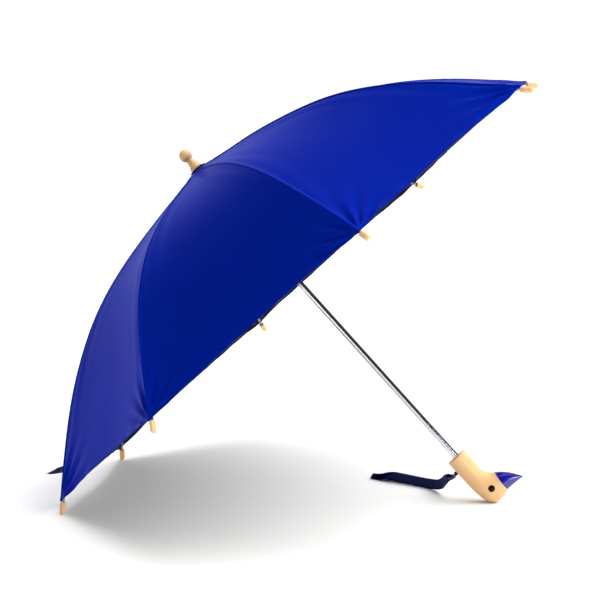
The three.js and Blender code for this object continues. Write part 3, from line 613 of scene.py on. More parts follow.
def cut_away(piece: bpy.types.Object, cutter: bpy.types.Object) -> None:
    """Cuts a shape out of a piece and removes the cutter."""
    only(piece)
    modifier = piece.modifiers.new("cut", "BOOLEAN")
    modifier.operation = "DIFFERENCE"
    modifier.object = cutter
    bpy.ops.object.modifier_apply(modifier=modifier.name)
    bpy.data.objects.remove(cutter)


def soften_edges(piece: bpy.types.Object, width: float) -> None:
    """Bevels the sharp edges of a piece and applies it."""
    only(piece)
    modifier = piece.modifiers.new("soften", "BEVEL")
    modifier.width = width
    modifier.segments = BEVEL_STEPS
    modifier.limit_method = "ANGLE"
    modifier.angle_limit = SMOOTH_ANGLE
    bpy.ops.object.modifier_apply(modifier=modifier.name)


def keep_blank(piece: bpy.types.Object) -> None:
    """Stores each vertex's place in the piece's own frame, in millimetres, as the attribute blank."""
    attribute = piece.data.attributes.new("blank", "FLOAT_VECTOR", "POINT")
    places = np.array([vertex.co for vertex in piece.data.vertices], np.float32) / MM
    attribute.data.foreach_set("vector", places.ravel())


def settle(piece: bpy.types.Object, place: Matrix, finish: Finish, body: str) -> bpy.types.Object:
    """Puts a finished piece in its place and gives it its finish and its body.

    Args:
        piece: The piece, in its own frame.
        place: From that frame to the model's.
        finish: What covers it, unless it has a material already.
        body: The CAD body that carries it.

    Returns:
        The piece, its place in its mesh.
    """
    only(piece)
    keep_blank(piece)
    piece.matrix_world = place
    bpy.ops.object.transform_apply(location=True, rotation=True, scale=True)
    bpy.ops.object.shade_smooth_by_angle(angle=SMOOTH_ANGLE)
    if not piece.data.materials:
        piece.data.materials.append(finish.material())
    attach(piece, body)
    piece.select_set(False)
    LOG.info("%s rides on %s", piece.name, body)
    return piece


def copy_of(piece: bpy.types.Object, name: str) -> bpy.types.Object:
    """Copies a piece with a mesh of its own."""
    copied = piece.copy()
    copied.data = piece.data.copy()
    copied.name = copied.data.name = name
    bpy.context.scene.collection.objects.link(copied)
    return copied


# ---------------------------------------------------------------- the frame's driving shapes
@dataclass(frozen=True)
class UmbrellaFrame:
    """Where the umbrella's own axes lie: the crown, the way to the beak, and the way up the shaft."""

    crown: Vector
    beakwards: Vector
    upwards: Vector
    notch_drop: float = 6 * MM
    pivot_radius: float = 7 * MM

    @classmethod
    def from_joints(cls, joints: Sequence[dict[str, Any]]) -> "UmbrellaFrame":
        """Works the axes out from the fold joints and the catch's joint.

        Args:
            joints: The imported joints.

        Returns:
            The umbrella's frame.
        """
        folds = [j for j in joints if j["name"] == "open_close" or j["name"].startswith("rib_fold_")]
        ring = sum((Vector(j["pos_m"]) for j in folds), Vector()) / len(folds)
        beakwards = Vector(next(j for j in joints if j["name"] == "top_catch_press")["axis"]).normalized()
        upwards = beakwards.cross(Vector((0, 1, 0))).normalized()
        return cls(ring + upwards * cls.notch_drop, beakwards, upwards)

    def matrix(self) -> Matrix:
        """From the umbrella's own frame to the model's."""
        across = self.upwards.cross(self.beakwards)
        turn = Matrix((self.beakwards, across, self.upwards)).transposed().to_4x4()
        return Matrix.Translation(self.crown) @ turn

    def spoke(self, number: int) -> Matrix:
        """From the fold pivot of one rib, with +X outwards, to the model's frame."""
        turn = Matrix.Rotation(SECTOR * (2 * number - 1), 4, "Z")
        return self.matrix() @ turn @ Matrix.Translation((self.pivot_radius, 0, -self.notch_drop))


@dataclass(frozen=True)
class BentRib:
    """The rib's middle line, from its pivot outwards, bent by the canopy's pull."""

    length: float = 429 * MM
    stretcher_reach: float = 215 * MM
    first_slope: float = math.radians(8.5)
    bend: float = math.radians(35)
    pin: float = 7 * MM

    def slope(self, reach: np.ndarray) -> np.ndarray:
        """Slope below level at each reach along the rib."""
        s = np.clip(reach, 0, self.length)
        before = s * s / (self.stretcher_reach * self.length)
        after = 1 - (self.length - s) ** 2 / ((self.length - self.stretcher_reach) * self.length)
        return self.first_slope + self.bend * np.where(s < self.stretcher_reach, before, after)

    def point(self, reach: np.ndarray, offset: np.ndarray | float = 0.0) -> tuple[np.ndarray, np.ndarray]:
        """Places on the rib, or off it along its upper normal.

        Args:
            reach: Distances along the rib.
            offset: Distances off its middle line.

        Returns:
            How far out and how high each point is.
        """
        fine = np.linspace(0, self.length + 4 * self.pin, 1600)
        middle = self.slope((fine[1:] + fine[:-1]) / 2)
        step = fine[1] - fine[0]
        out = np.concatenate([[0], np.cumsum(np.cos(middle) * step)])
        up = np.concatenate([[0], -np.cumsum(np.sin(middle) * step)])
        slope = self.slope(reach)
        return (np.interp(reach, fine, out) + offset * np.sin(slope),
                np.interp(reach, fine, up) + offset * np.cos(slope))


# ---------------------------------------------------------------- cloth helpers
def skin(name: str, outer: np.ndarray, inner: np.ndarray, cloth: np.ndarray, ring: bool = False,
         **fields: np.ndarray) -> bpy.types.Object:
    """Makes one closed sheet from two grids of points.

    Args:
        name: The piece's name.
        outer: Rows by columns by 3, the face that is seen.
        inner: The same for the back.
        cloth: Rows by columns by 2, the place on the flat cloth in millimetres.
        ring: Whether the last column meets the first.
        **fields: Values of further attributes, rows by columns, such as the distance from the hem.

    Returns:
        The sheet, with a cloth UV map and an attribute for each field.
    """
    rows, columns = outer.shape[:2]
    count = rows * columns
    points = np.concatenate([outer.reshape(-1, 3), inner.reshape(-1, 3)])
    index = np.arange(count).reshape(rows, columns)
    right = np.roll(index, -1, axis=1) if ring else index[:, 1:]
    left = index if ring else index[:, :-1]
    top = np.stack([left[:-1], left[1:], right[1:], right[:-1]], axis=-1).reshape(-1, 4)
    quads = [top, top[:, ::-1] + count]
    edges = [(left[0], right[0]), (right[-1], left[-1])]
    if not ring:
        edges += [(index[1:, 0], index[:-1, 0]), (index[:-1, -1], index[1:, -1])]
    for start, end in edges:
        quads.append(np.stack([start, end, end + count, start + count], axis=-1).reshape(-1, 4))
    faces = np.concatenate(quads)
    mesh = bpy.data.meshes.new(name)
    mesh.from_pydata(points.tolist(), [], faces.tolist())
    flat = np.concatenate([cloth.reshape(-1, 2)] * 2)
    layer = mesh.uv_layers.new(name="cloth")
    corners = np.zeros(len(mesh.loops), np.int32)
    mesh.loops.foreach_get("vertex_index", corners)
    layer.data.foreach_set("uv", flat[corners].astype(np.float32).ravel())
    for field_name, values in fields.items():
        attribute = mesh.attributes.new(field_name, "FLOAT", "POINT")
        attribute.data.foreach_set("value", np.concatenate([values.reshape(-1)] * 2).astype(np.float32))
    mesh.validate()
    piece = bpy.data.objects.new(name, mesh)
    bpy.context.scene.collection.objects.link(piece)
    only(piece)
    bpy.ops.object.mode_set(mode="EDIT")
    bpy.ops.mesh.select_all(action="SELECT")
    bpy.ops.mesh.normals_make_consistent(inside=False)
    bpy.ops.object.mode_set(mode="OBJECT")
    return piece


def shade_back(piece: bpy.types.Object, cells: int) -> None:
    """Gives a sheet of canopy satin a near-black back, painted shade for the underside of the canopy.

    Args:
        piece: The sheet, as skin made it.
        cells: How many cells its grid has.
    """
    piece.data.materials.append(SATIN.material())
    piece.data.materials.append(UNDERSIDE_SHADE.material())
    # The back faces get the painted shade.
    for face in piece.data.polygons[cells:2 * cells]:
        face.material_index = 1


def bell(distance: np.ndarray, width: float) -> np.ndarray:
    """A smooth bump of height one, that wide to either side."""
    return np.exp(-(distance / width) ** 2)


def smooth(value: np.ndarray, low: float, high: float) -> np.ndarray:
    """Rises smoothly from 0 at low to 1 at high."""
    t = np.clip((value - low) / (high - low), 0, 1)
    return t * t * (3 - 2 * t)


# ---------------------------------------------------------------- canopy
@dataclass
class Canopy:
    """The cover: eight panels that meet at mid-gore, the cloth over the notch, and the pinked rosette."""

    place: UmbrellaFrame
    rib: BentRib = field(default_factory=BentRib)
    thickness: float = 0.5 * MM
    lift: float = 2.9 * MM
    skin_lift: float = 0.8 * MM
    crown_lift: float = 3.3 * MM
    crown_reach: float = 40 * MM
    gore_sag: float = 0.015
    scallop: float = 10 * MM
    start: float = 6.4 * MM
    lap: float = 0.9 * MM
    seam_height: float = 0.75 * MM
    hem_width: float = 5 * MM
    rosette_radius: float = 12 * MM
    shaft_hole: float = 4.3 * MM
    folded_share: float = 0.27

    def cloth_lift(self, reach: np.ndarray) -> np.ndarray:
        """Height of the cloth's inner face over the rib's middle line."""
        near = np.maximum(0, 1 - reach / self.crown_reach)
        return self.lift + self.crown_lift * near * near

    def surface(self, across: np.ndarray, reach: np.ndarray, lift: np.ndarray | float) -> np.ndarray:
        """Points of the cloth beside one rib, from the rib's pivot.

        Args:
            across: From -1 to 1 between the two mid-gore lines.
            reach: Distance along the rib.
            lift: Height out of the cloth.

        Returns:
            The points, stacked along the last axis.
        """
        side = np.minimum(np.abs(across), 1)
        hollow = 2 * side - side * side
        out, up = self.rib.point(reach, self.cloth_lift(reach) + lift)
        radius = self.place.pivot_radius + out
        y = across * radius * math.sin(SECTOR) * math.cos(SECTOR)
        x = radius - np.abs(y) * math.tan(SECTOR)
        slope = self.rib.slope(reach)
        dip = self.gore_sag * radius * hollow
        inwards = 1 - dip * np.sin(slope) / x
        return np.stack([x * inwards - self.place.pivot_radius, y * inwards, up - dip * np.cos(slope)], axis=-1)

    def hem_reach(self, across: np.ndarray) -> np.ndarray:
        """Reach of the hem, which hollows slightly between the ribs."""
        side = np.minimum(np.abs(across), 1)
        return self.rib.length - self.scallop * (2 * side - side * side)

    def relief(self, number: int, y: np.ndarray, reach: np.ndarray, hem: np.ndarray,
               share: np.ndarray) -> np.ndarray:
        """How far the cloth stands out of its even curve.

        Args:
            number: The rib's number, which shifts the folds.
            y: Distance from the rib, signed.
            reach: Distance along the rib.
            hem: Distance from the hem.
            share: From -1 to 1 between the mid-gore lines.

        Returns:
            Heights out of the cloth.
        """
        off = np.abs(y)
        inner = 1 - smooth(np.abs(share), 0.6, 0.95)
        sewn = smooth(reach, 9 * MM, 26 * MM)
        seam = self.seam_height * sewn * bell(y, 1.25 * MM)
        groove = -0.7 * MM * sewn * bell(y + 2.6 * MM, 0.9 * MM)
        # Pulls that fan out from the tip, where the corner of the cloth is made fast.
        from_tip = np.hypot(self.rib.length - reach, off)
        angle = np.arctan2(y, self.rib.length - reach + 1 * MM)
        grown = smooth(from_tip, 4 * MM, 22 * MM) * bell(from_tip - 22 * MM, 34 * MM)
        fan = 1.9 * MM * grown * np.cos(angle * 13 + number * 1.9) * smooth(off, 0, 5 * MM)
        # Slack that runs beside the rib over the middle of its length.
        drift = y / (7.5 * MM + 0.016 * reach) + 0.8 * np.sin(reach / (61 * MM) + number)
        middle = smooth(reach, 70 * MM, 150 * MM) * (1 - smooth(reach, 330 * MM, 400 * MM))
        slack = (0.42 * MM * middle * np.sin(drift * 2.4) * smooth(off, 2 * MM, 9 * MM)
                 * bell(off - 10 * MM, 17 * MM))
        # The hem is folded twice, and its thread draws it in a little.
        fold = 0.28 * MM * (1 - smooth(hem, self.hem_width - 0.6 * MM, self.hem_width + 0.4 * MM))
        drawn = 0.35 * MM * bell(hem, 9 * MM) * np.sin(y / (5.2 * MM) + number) * inner
        return seam + groove + (fan + slack) * inner + fold + drawn

    def waves(self, points: np.ndarray, turn: Matrix, reach: np.ndarray) -> np.ndarray:
        """Broad unevenness of the whole cover, the same on both sides of a mid-gore line."""
        flat = points.reshape(-1, 3)
        turned = flat @ np.array(turn.to_3x3()).T + np.array(turn.translation)
        heights = [noise.noise(Vector(p) * 11.0) for p in turned]
        return 0.9 * MM * np.array(heights).reshape(reach.shape) * smooth(reach, 40 * MM, 120 * MM)

    def panel(self, number: int) -> bpy.types.Object:
        """Makes the cover's panel about one rib, half a gore to either side.

        Args:
            number: The rib's number.

        Returns:
            The panel, placed and riding on its spoke.
        """
        t = np.linspace(-1, 1, 77)
        across = np.sign(t) * np.abs(t) ** 1.55
        steps = np.concatenate([np.linspace(0, 0.955, 96), np.linspace(0.958, 1, 18)])
        # Two more columns turn the edge down and run it on, under the next panel's edge.
        share, along = np.meshgrid(np.append(across, [1.0, 1.0]), steps)
        reach = self.start + (self.hem_reach(share) - self.start) * along
        hem = self.hem_reach(share) - reach
        even = self.surface(share, reach, 0.0)
        y = even[..., 1].copy()
        under = np.zeros_like(share)
        under[:, -2:] = self.thickness + 0.1 * MM
        swell = self.relief(number, y, reach, hem, share) + self.waves(even, self.turned(number), reach)
        lift = self.skin_lift + swell - under
        doubled = 1 - smooth(hem, self.hem_width - 0.6 * MM, self.hem_width + 0.4 * MM)
        welt = 1.25 * MM * bell(y, 1.9 * MM) * smooth(reach, 12 * MM, 30 * MM) + 0.3 * MM * doubled
        outer = self.surface(share, reach, lift)
        inner = self.surface(share, reach, lift - self.thickness - welt)
        edge = y[:, -1]
        inner[:, -3:-1, 1] -= np.minimum(0.016 * edge, 0.4 * MM)[:, None]
        for grid in (outer, inner):
            grid[:, -1, 1] += np.minimum(0.1 * edge, self.lap)
        off_middle = y - np.sign(share) * edge[:, None]
        piece = skin(f"cover_panel_{number}", outer, inner, np.stack([off_middle, reach], axis=-1) / MM,
                     seam=y / MM, hem=hem / MM)
        shade_back(piece, (len(steps) - 1) * (share.shape[1] - 1))
        settle(piece, self.place.spoke(number), SATIN, f"spoke_{number}")
        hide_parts(f"canopy_panel_{number}")
        self.fold_with(piece, number)
        return piece

    def turned(self, number: int) -> Matrix:
        """From one rib's pivot to the umbrella's own frame."""
        turn = Matrix.Rotation(SECTOR * (2 * number - 1), 4, "Z")
        return turn @ Matrix.Translation((self.place.pivot_radius, 0, -self.place.notch_drop))

    def fold_with(self, piece: bpy.types.Object, number: int) -> None:
        """Gives a piece of the cover a mesh of its own."""
        spoke = self.place.spoke(number)
        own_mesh(piece)

    def crown_gore(self, number: int) -> bpy.types.Object:
        """Makes the bit of cloth between the rosette and one panel, which bends over the notch.

        Args:
            number: The rib's number.

        Returns:
            The cloth, its place beside the spoke baked into its mesh.
        """
        rim = self.start + 2.4 * MM
        share, along = np.meshgrid(np.linspace(-1, 1, 13), np.linspace(0, 1, 12))
        end = self.surface(share, np.full_like(share, rim), self.skin_lift - self.thickness - 0.12 * MM)
        radial = end.copy()
        radial[..., 0] += self.place.pivot_radius
        hole_share = self.shaft_hole / float(radial[0, 6, 0])
        scale = hole_share + (1 - hole_share) * along
        climb = (1 - along) ** 1.5 * (self.place.notch_drop - 0.4 * MM - radial[..., 2])
        points = np.stack([radial[..., 0] * scale, radial[..., 1] * scale, radial[..., 2] + climb], axis=-1)
        points[..., 2] += 0.15 * MM * np.sin(along * math.pi) * np.cos(share * math.pi * 3)
        points[..., 0] -= self.place.pivot_radius
        back = points.copy()
        back[..., 2] -= self.thickness
        far = np.full_like(share, self.rib.length / MM)
        cloth = np.stack([points[..., 1], points[..., 0]], axis=-1) / MM
        piece = skin(f"crown_gore_{number}", points, back, cloth, seam=far, hem=far)
        spoke = self.place.spoke(number)
        only(piece)
        keep_blank(piece)
        shade_back(piece, (share.shape[0] - 1) * (share.shape[1] - 1))
        piece.data.transform(spoke)
        bpy.ops.object.shade_smooth_by_angle(angle=SMOOTH_ANGLE)
        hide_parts("canopy_crown")
        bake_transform(piece)
        piece.select_set(False)
        LOG.info("%s bends between root and spoke_%d", piece.name, number)
        return piece

    def rosette(self, layer: int) -> bpy.types.Object:
        """Makes one pinked disc of the rosette under the finial.

        Args:
            layer: 0 for the lower disc, 1 for the smaller one on it.

        Returns:
            The disc, riding on the root.
        """
        radius = self.rosette_radius - layer * 0.9 * MM
        teeth = 20
        angle, share = np.meshgrid(np.arange(160) / 160 * 2 * math.pi, np.linspace(0, 1, 9))
        tooth = np.abs(((angle / (2 * math.pi) * teeth + layer * 0.5) % 1) * 2 - 1)
        edge = radius - 0.9 * MM * tooth
        reach = self.shaft_hole + (edge - self.shaft_hole) * share
        height = (0.3 + layer * 0.42) * MM + 0.22 * MM * share ** 2 * np.sin(angle * 5 + layer)
        height -= 0.25 * MM * share ** 3
        outer = np.stack([reach * np.cos(angle), reach * np.sin(angle), height + 0.36 * MM], axis=-1)
        inner = outer - np.array([0, 0, 0.36 * MM])
        piece = skin(f"pinked_rosette_{layer + 1}", outer, inner, outer[..., :2] / MM, ring=True)
        settle(piece, self.place.matrix(), RIBBON, "root")
        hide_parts("canopy_rosette")
        return piece

    def build(self) -> None:
        """Makes the whole cover."""
        for number in range(1, RIB_COUNT + 1):
            self.panel(number)
            self.crown_gore(number)
        self.rosette(0)
        self.rosette(1)
        LOG.info("canopy: %d panels, %d crown gores, 2 rosette discs", RIB_COUNT, RIB_COUNT)


@dataclass
class TieStrap:
    """The closing strap sewn near the hem of one gore, with a patch of hooks and a patch of loops."""

    canopy: Canopy
    width: float = 13 * MM
    thickness: float = 0.8 * MM
    from_hem: float = 26 * MM
    root: float = 0.97
    end: float = 0.14
    curl: float = 24 * MM
    twist: float = math.radians(62)
    point: float = 14 * MM
    patch_length: float = 16 * MM
    patch_width: float = 9 * MM
    patch_thickness: float = 0.6 * MM
    gap: float = 0.3 * MM

    def middle_reach(self) -> float:
        """Distance of the strap's middle line along the rib."""
        return self.canopy.rib.length - self.from_hem

    def length(self) -> float:
        """The strap's length, from its root to its point."""
        out, _ = self.canopy.rib.point(np.array([self.middle_reach()]))
        half_gore = (self.canopy.place.pivot_radius + float(out[0])) * math.sin(SECTOR) * math.cos(SECTOR)
        return (self.root - self.end) * half_gore

    def stand(self, travel: np.ndarray) -> np.ndarray:
        """How far the strap has curled off the cloth."""
        return self.canopy.skin_lift + 0.5 * MM + self.curl * travel ** 3

    def ribbon(self, name: str, travel: np.ndarray, half: np.ndarray, low: np.ndarray, thickness: float,
               drop: float, finish: Finish) -> bpy.types.Object:
        """Makes one band of ribbon across the gore.

        Args:
            name: The piece's name.
            travel: Shares of the way from the strap's root to its point.
            half: Half the band's width at each travel.
            low: Height of its underside off the cloth.
            thickness: Its thickness.
            drop: How far its middle lies past the strap's own.
            finish: What it is made of.

        Returns:
            The band, riding on the tie rib's spoke.
        """
        side, row = np.meshgrid(np.linspace(-1, 1, 9), travel)
        across = -(self.root + (self.end - self.root) * row)
        turn = self.twist * row ** 2
        reach = self.middle_reach() + drop + side * half[:, None] * np.cos(turn)
        edge = 0.12 * MM * smooth(np.abs(side), 0.75, 0.95)
        under = low[:, None] + (1 + side) * half[:, None] * np.sin(turn)
        outer = self.canopy.surface(across, reach, under + thickness + edge)
        inner = self.canopy.surface(across, reach, under)
        cloth = np.stack([side * half[:, None], row * self.length()], axis=-1) / MM
        piece = skin(name, outer, inner, cloth)
        settle(piece, self.canopy.place.spoke(TIE_RIB), finish, f"spoke_{TIE_RIB}")
        return piece

    def build(self) -> None:
        """Makes the strap and both patches."""
        travel = np.linspace(0, 1, 49)
        left = (1 - travel) * self.length()
        half = self.width / 2 * np.minimum(1, 0.06 + left / self.point)
        strap = self.ribbon("closing_strap", travel, half, self.stand(travel), self.thickness, 0,
                            RIBBON)
        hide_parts("tie_strap")
        self.length()
        self.width * (self.length() - self.point / 2)
        share = self.patch_length / 2 / self.length()
        patches = (("hook_patch", "tie_hook_patch", 0.72, self.stand, self.thickness + self.gap, 0.0),
                   ("loop_patch", "tie_loop_patch", 0.12, None, 0.0, -self.width / 2 - self.patch_width))
        for name, node, middle, stand, over, drop in patches:
            spot = np.linspace(middle - share, middle + share, 13)
            low = stand(spot) + over if stand else np.full_like(spot, self.canopy.skin_lift + 0.6 * MM)
            patch = self.ribbon(name, spot, np.full_like(spot, self.patch_width / 2), low,
                                self.patch_thickness, drop, HOOKS)
            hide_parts(node)
            self.canopy.fold_with(patch, TIE_RIB)
        self.canopy.fold_with(strap, TIE_RIB)
        LOG.info("tie strap %.0f mm long, with 2 patches", self.length() / MM)


# ---------------------------------------------------------------- ribs and metalwork
@dataclass
class SteelWork:
    """Ribs, stretchers, rivets, wires, pins and catches: CAD shapes with merged faces and soft edges."""

    edge: float = 0.12 * MM
    merge: float = 0.004 * MM
    flatness: float = math.radians(0.4)

    def refined(self, node: str, name: str, finish: Finish, body: str) -> bpy.types.Object:
        """Makes a finer piece from a CAD node's own shape.

        Args:
            node: The CAD node.
            name: The new piece's name.
            finish: What it is made of.
            body: The body that carries it.

        Returns:
            The piece, standing for the node.
        """
        piece = bpy.data.objects[node].copy()
        piece.data = piece.data.copy()
        for key in list(piece.keys()):
            del piece[key]
        piece.parent = None
        piece.name = piece.data.name = name
        bpy.context.scene.collection.objects.link(piece)
        piece.data.materials.clear()
        only(piece)
        bpy.ops.object.mode_set(mode="EDIT")
        bpy.ops.mesh.select_all(action="SELECT")
        bpy.ops.mesh.remove_doubles(threshold=self.merge)
        bpy.ops.mesh.dissolve_limited(angle_limit=self.flatness)
        bpy.ops.object.mode_set(mode="OBJECT")
        soften_edges(piece, self.edge)
        settle(piece, Matrix.Identity(4), finish, body)
        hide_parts(node)
        return piece

    def build(self) -> None:
        """Makes every metal and moulded piece of the frame."""
        for number in range(1, RIB_COUNT + 1):
            spoke = f"spoke_{number}"
            self.refined(f"rib_{number}", f"steel_rib_{number}", STEEL, spoke)
            self.refined(f"rivet_{number}", f"rib_rivet_{number}", STEEL, spoke)
            self.refined(f"stretcher_{number}", f"steel_stretcher_{number}", STEEL,
                         f"strut_{number}")
        for node, name, body in (("stop_pin", "runner_stop_pin", "root"),
                                 ("notch_wire", "rib_ring_wire", "root"),
                                 ("runner_wire", "stretcher_ring_wire", "runner_set"),
                                 ("top_catch", "top_spring_catch", "top_catch_set"),
                                 ("bottom_catch", "bottom_spring_catch", "bottom_catch_set")):
            self.refined(node, name, STEEL, body)
        self.refined("top_notch", "cast_notch", ACETAL, "root")
        self.refined("runner", "moulded_runner", ACETAL, "runner_set")
        LOG.info("steel and mouldings: %d pieces", 3 * RIB_COUNT + 7)


@dataclass
class Shaft:
    """The chromed tube, with a window for each catch."""

    place: UmbrellaFrame
    radius: float = 4 * MM
    wall: float = 0.6 * MM
    top: float = 6.5 * MM
    bottom: float = -(GRIP_DROP + 44.7) * MM
    sides: int = 64
    window_width: float = 2.4 * MM
    window_spare: float = 2.4 * MM
    window_out: float = 1 * MM

    def build(self) -> None:
        """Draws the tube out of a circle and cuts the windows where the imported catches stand."""
        bpy.ops.object.select_all(action="DESELECT")
        bpy.ops.mesh.primitive_circle_add(vertices=self.sides, radius=self.radius, fill_type="NOTHING",
                                          location=(0, 0, self.bottom))
        tube = bpy.context.object
        tube.name = tube.data.name = "chromed_shaft"
        bpy.ops.object.transform_apply(location=True, rotation=True, scale=True)
        bpy.ops.object.mode_set(mode="EDIT")
        bpy.ops.mesh.select_all(action="SELECT")
        bpy.ops.mesh.extrude_region_move(TRANSFORM_OT_translate={"value": (0, 0, self.top - self.bottom)})
        bpy.ops.mesh.select_all(action="SELECT")
        bpy.ops.mesh.normals_make_consistent(inside=False)
        bpy.ops.object.mode_set(mode="OBJECT")
        wall = tube.modifiers.new("wall", "SOLIDIFY")
        wall.thickness = self.wall
        wall.offset = -1
        bpy.ops.object.modifier_apply(modifier=wall.name)
        inward = self.place.matrix().inverted()
        for node in ("top_catch", "bottom_catch"):
            places = [inward @ vertex.co for vertex in bpy.data.objects[node].data.vertices]
            lengths = [p.z for p in places]
            middle = (min(lengths) + max(lengths)) / 2
            size = (self.window_width, 2 * self.radius, max(lengths) - min(lengths) + self.window_spare)
            bpy.ops.object.select_all(action="DESELECT")
            place = (0, self.radius + self.window_out, middle)
            bpy.ops.mesh.primitive_cube_add(size=1, location=place, scale=size)
            cut_away(tube, bpy.context.object)
        settle(tube, self.place.matrix(), CHROME, "root")
        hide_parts("shaft_tube")
        LOG.info("shaft %.0f mm long", (self.top - self.bottom) / MM)


# ---------------------------------------------------------------- turned and carved wood
@dataclass
class WoodenTips:
    """The turned peg on the end of each rib."""

    place: UmbrellaFrame
    rib: BentRib = field(default_factory=BentRib)
    radius: float = 3.45
    length: float = 14.5
    bore: float = 2.2
    depth: float = 7.3
    gap: float = 0.3 * MM

    def blank(self) -> bpy.types.Object:
        """Turns one peg, open end at its origin, along +Z."""
        r = self.radius
        profile = [(r - 0.6, 0), (r - 0.2, 0.2), (r, 0.7), (r + 0.08, self.length * 0.35),
                   (r, self.length - 4.4)]
        for step in range(8):
            angle = step / 8 * math.pi / 2
            profile.append((r * math.cos(angle), self.length - r * 0.95 * (1 - math.sin(angle))))
        profile.append((0.05, self.length))
        peg = stack_rings("turned_tip_1", turned_rings(profile), sides=32, pointed=True)
        sink_bore(peg, 0, self.bore * MM, (r - 0.6) * MM, self.depth * MM)
        return peg

    def build(self) -> None:
        """Turns one peg and sets a copy on every rib."""
        first = self.blank()
        start = np.array([self.rib.length + self.gap])
        out, up = self.rib.point(start)
        slope = float(self.rib.slope(start)[0])
        lie = Matrix.Translation((float(out[0]), 0, float(up[0]))) @ Matrix.Rotation(math.pi / 2 + slope, 4, "Y")
        pegs = [first] + [copy_of(first, f"turned_tip_{number}") for number in range(2, RIB_COUNT + 1)]
        for number, peg in enumerate(pegs, 1):
            roll = Matrix.Rotation(number * 1.3, 4, "Z")
            settle(peg, self.place.spoke(number) @ lie @ roll, BEECH, f"spoke_{number}")
            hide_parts(f"rib_tip_{number}")
        LOG.info("turned tips: %d", RIB_COUNT)


@dataclass
class Finial:
    """The turned knob on the crown: a ball on a waisted neck over a flared base."""

    place: UmbrellaFrame
    ball: float = 8.1
    rise: float = 21.9
    neck: float = 4.65
    foot: float = 8.4
    base: float = 1.4
    socket: float = 6.8

    def profile(self) -> list[tuple[float, float]]:
        """Radius and height pairs from the base to the top of the ball."""
        join = math.asin(self.neck / self.ball)
        ball_foot = self.rise - self.ball * math.cos(join)
        corners = [Vector((self.foot, self.base + 1.2)), Vector((self.foot - 1.2, self.base + 6)),
                   Vector((self.neck, self.base + 7)), Vector((self.neck, ball_foot))]
        outline = [(self.foot - 0.7, self.base), (self.foot - 0.2, self.base + 0.25),
                   (self.foot, self.base + 0.8)]
        for step in range(14):
            t = step / 14
            u = 1 - t
            p = (corners[0] * u ** 3 + corners[1] * 3 * u * u * t + corners[2] * 3 * u * t * t
                 + corners[3] * t ** 3)
            outline.append((p.x, p.y))
        for step in range(22):
            angle = join + (math.pi - join) * step / 22
            outline.append((self.ball * math.sin(angle), self.rise - self.ball * math.cos(angle)))
        return outline + [(0.05, self.rise + self.ball)]

    def build(self) -> None:
        """Turns the finial and bores its socket."""
        knob = stack_rings("turned_finial", turned_rings(self.profile()), sides=56, pointed=True)
        sink_bore(knob, self.base * MM, SHAFT_BORE * MM, (self.foot - 0.7) * MM, (self.socket - self.base) * MM)
        settle(knob, self.place.matrix(), BEECH, "root")
        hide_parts("finial")
        LOG.info("finial %.0f mm high", self.rise + self.ball)


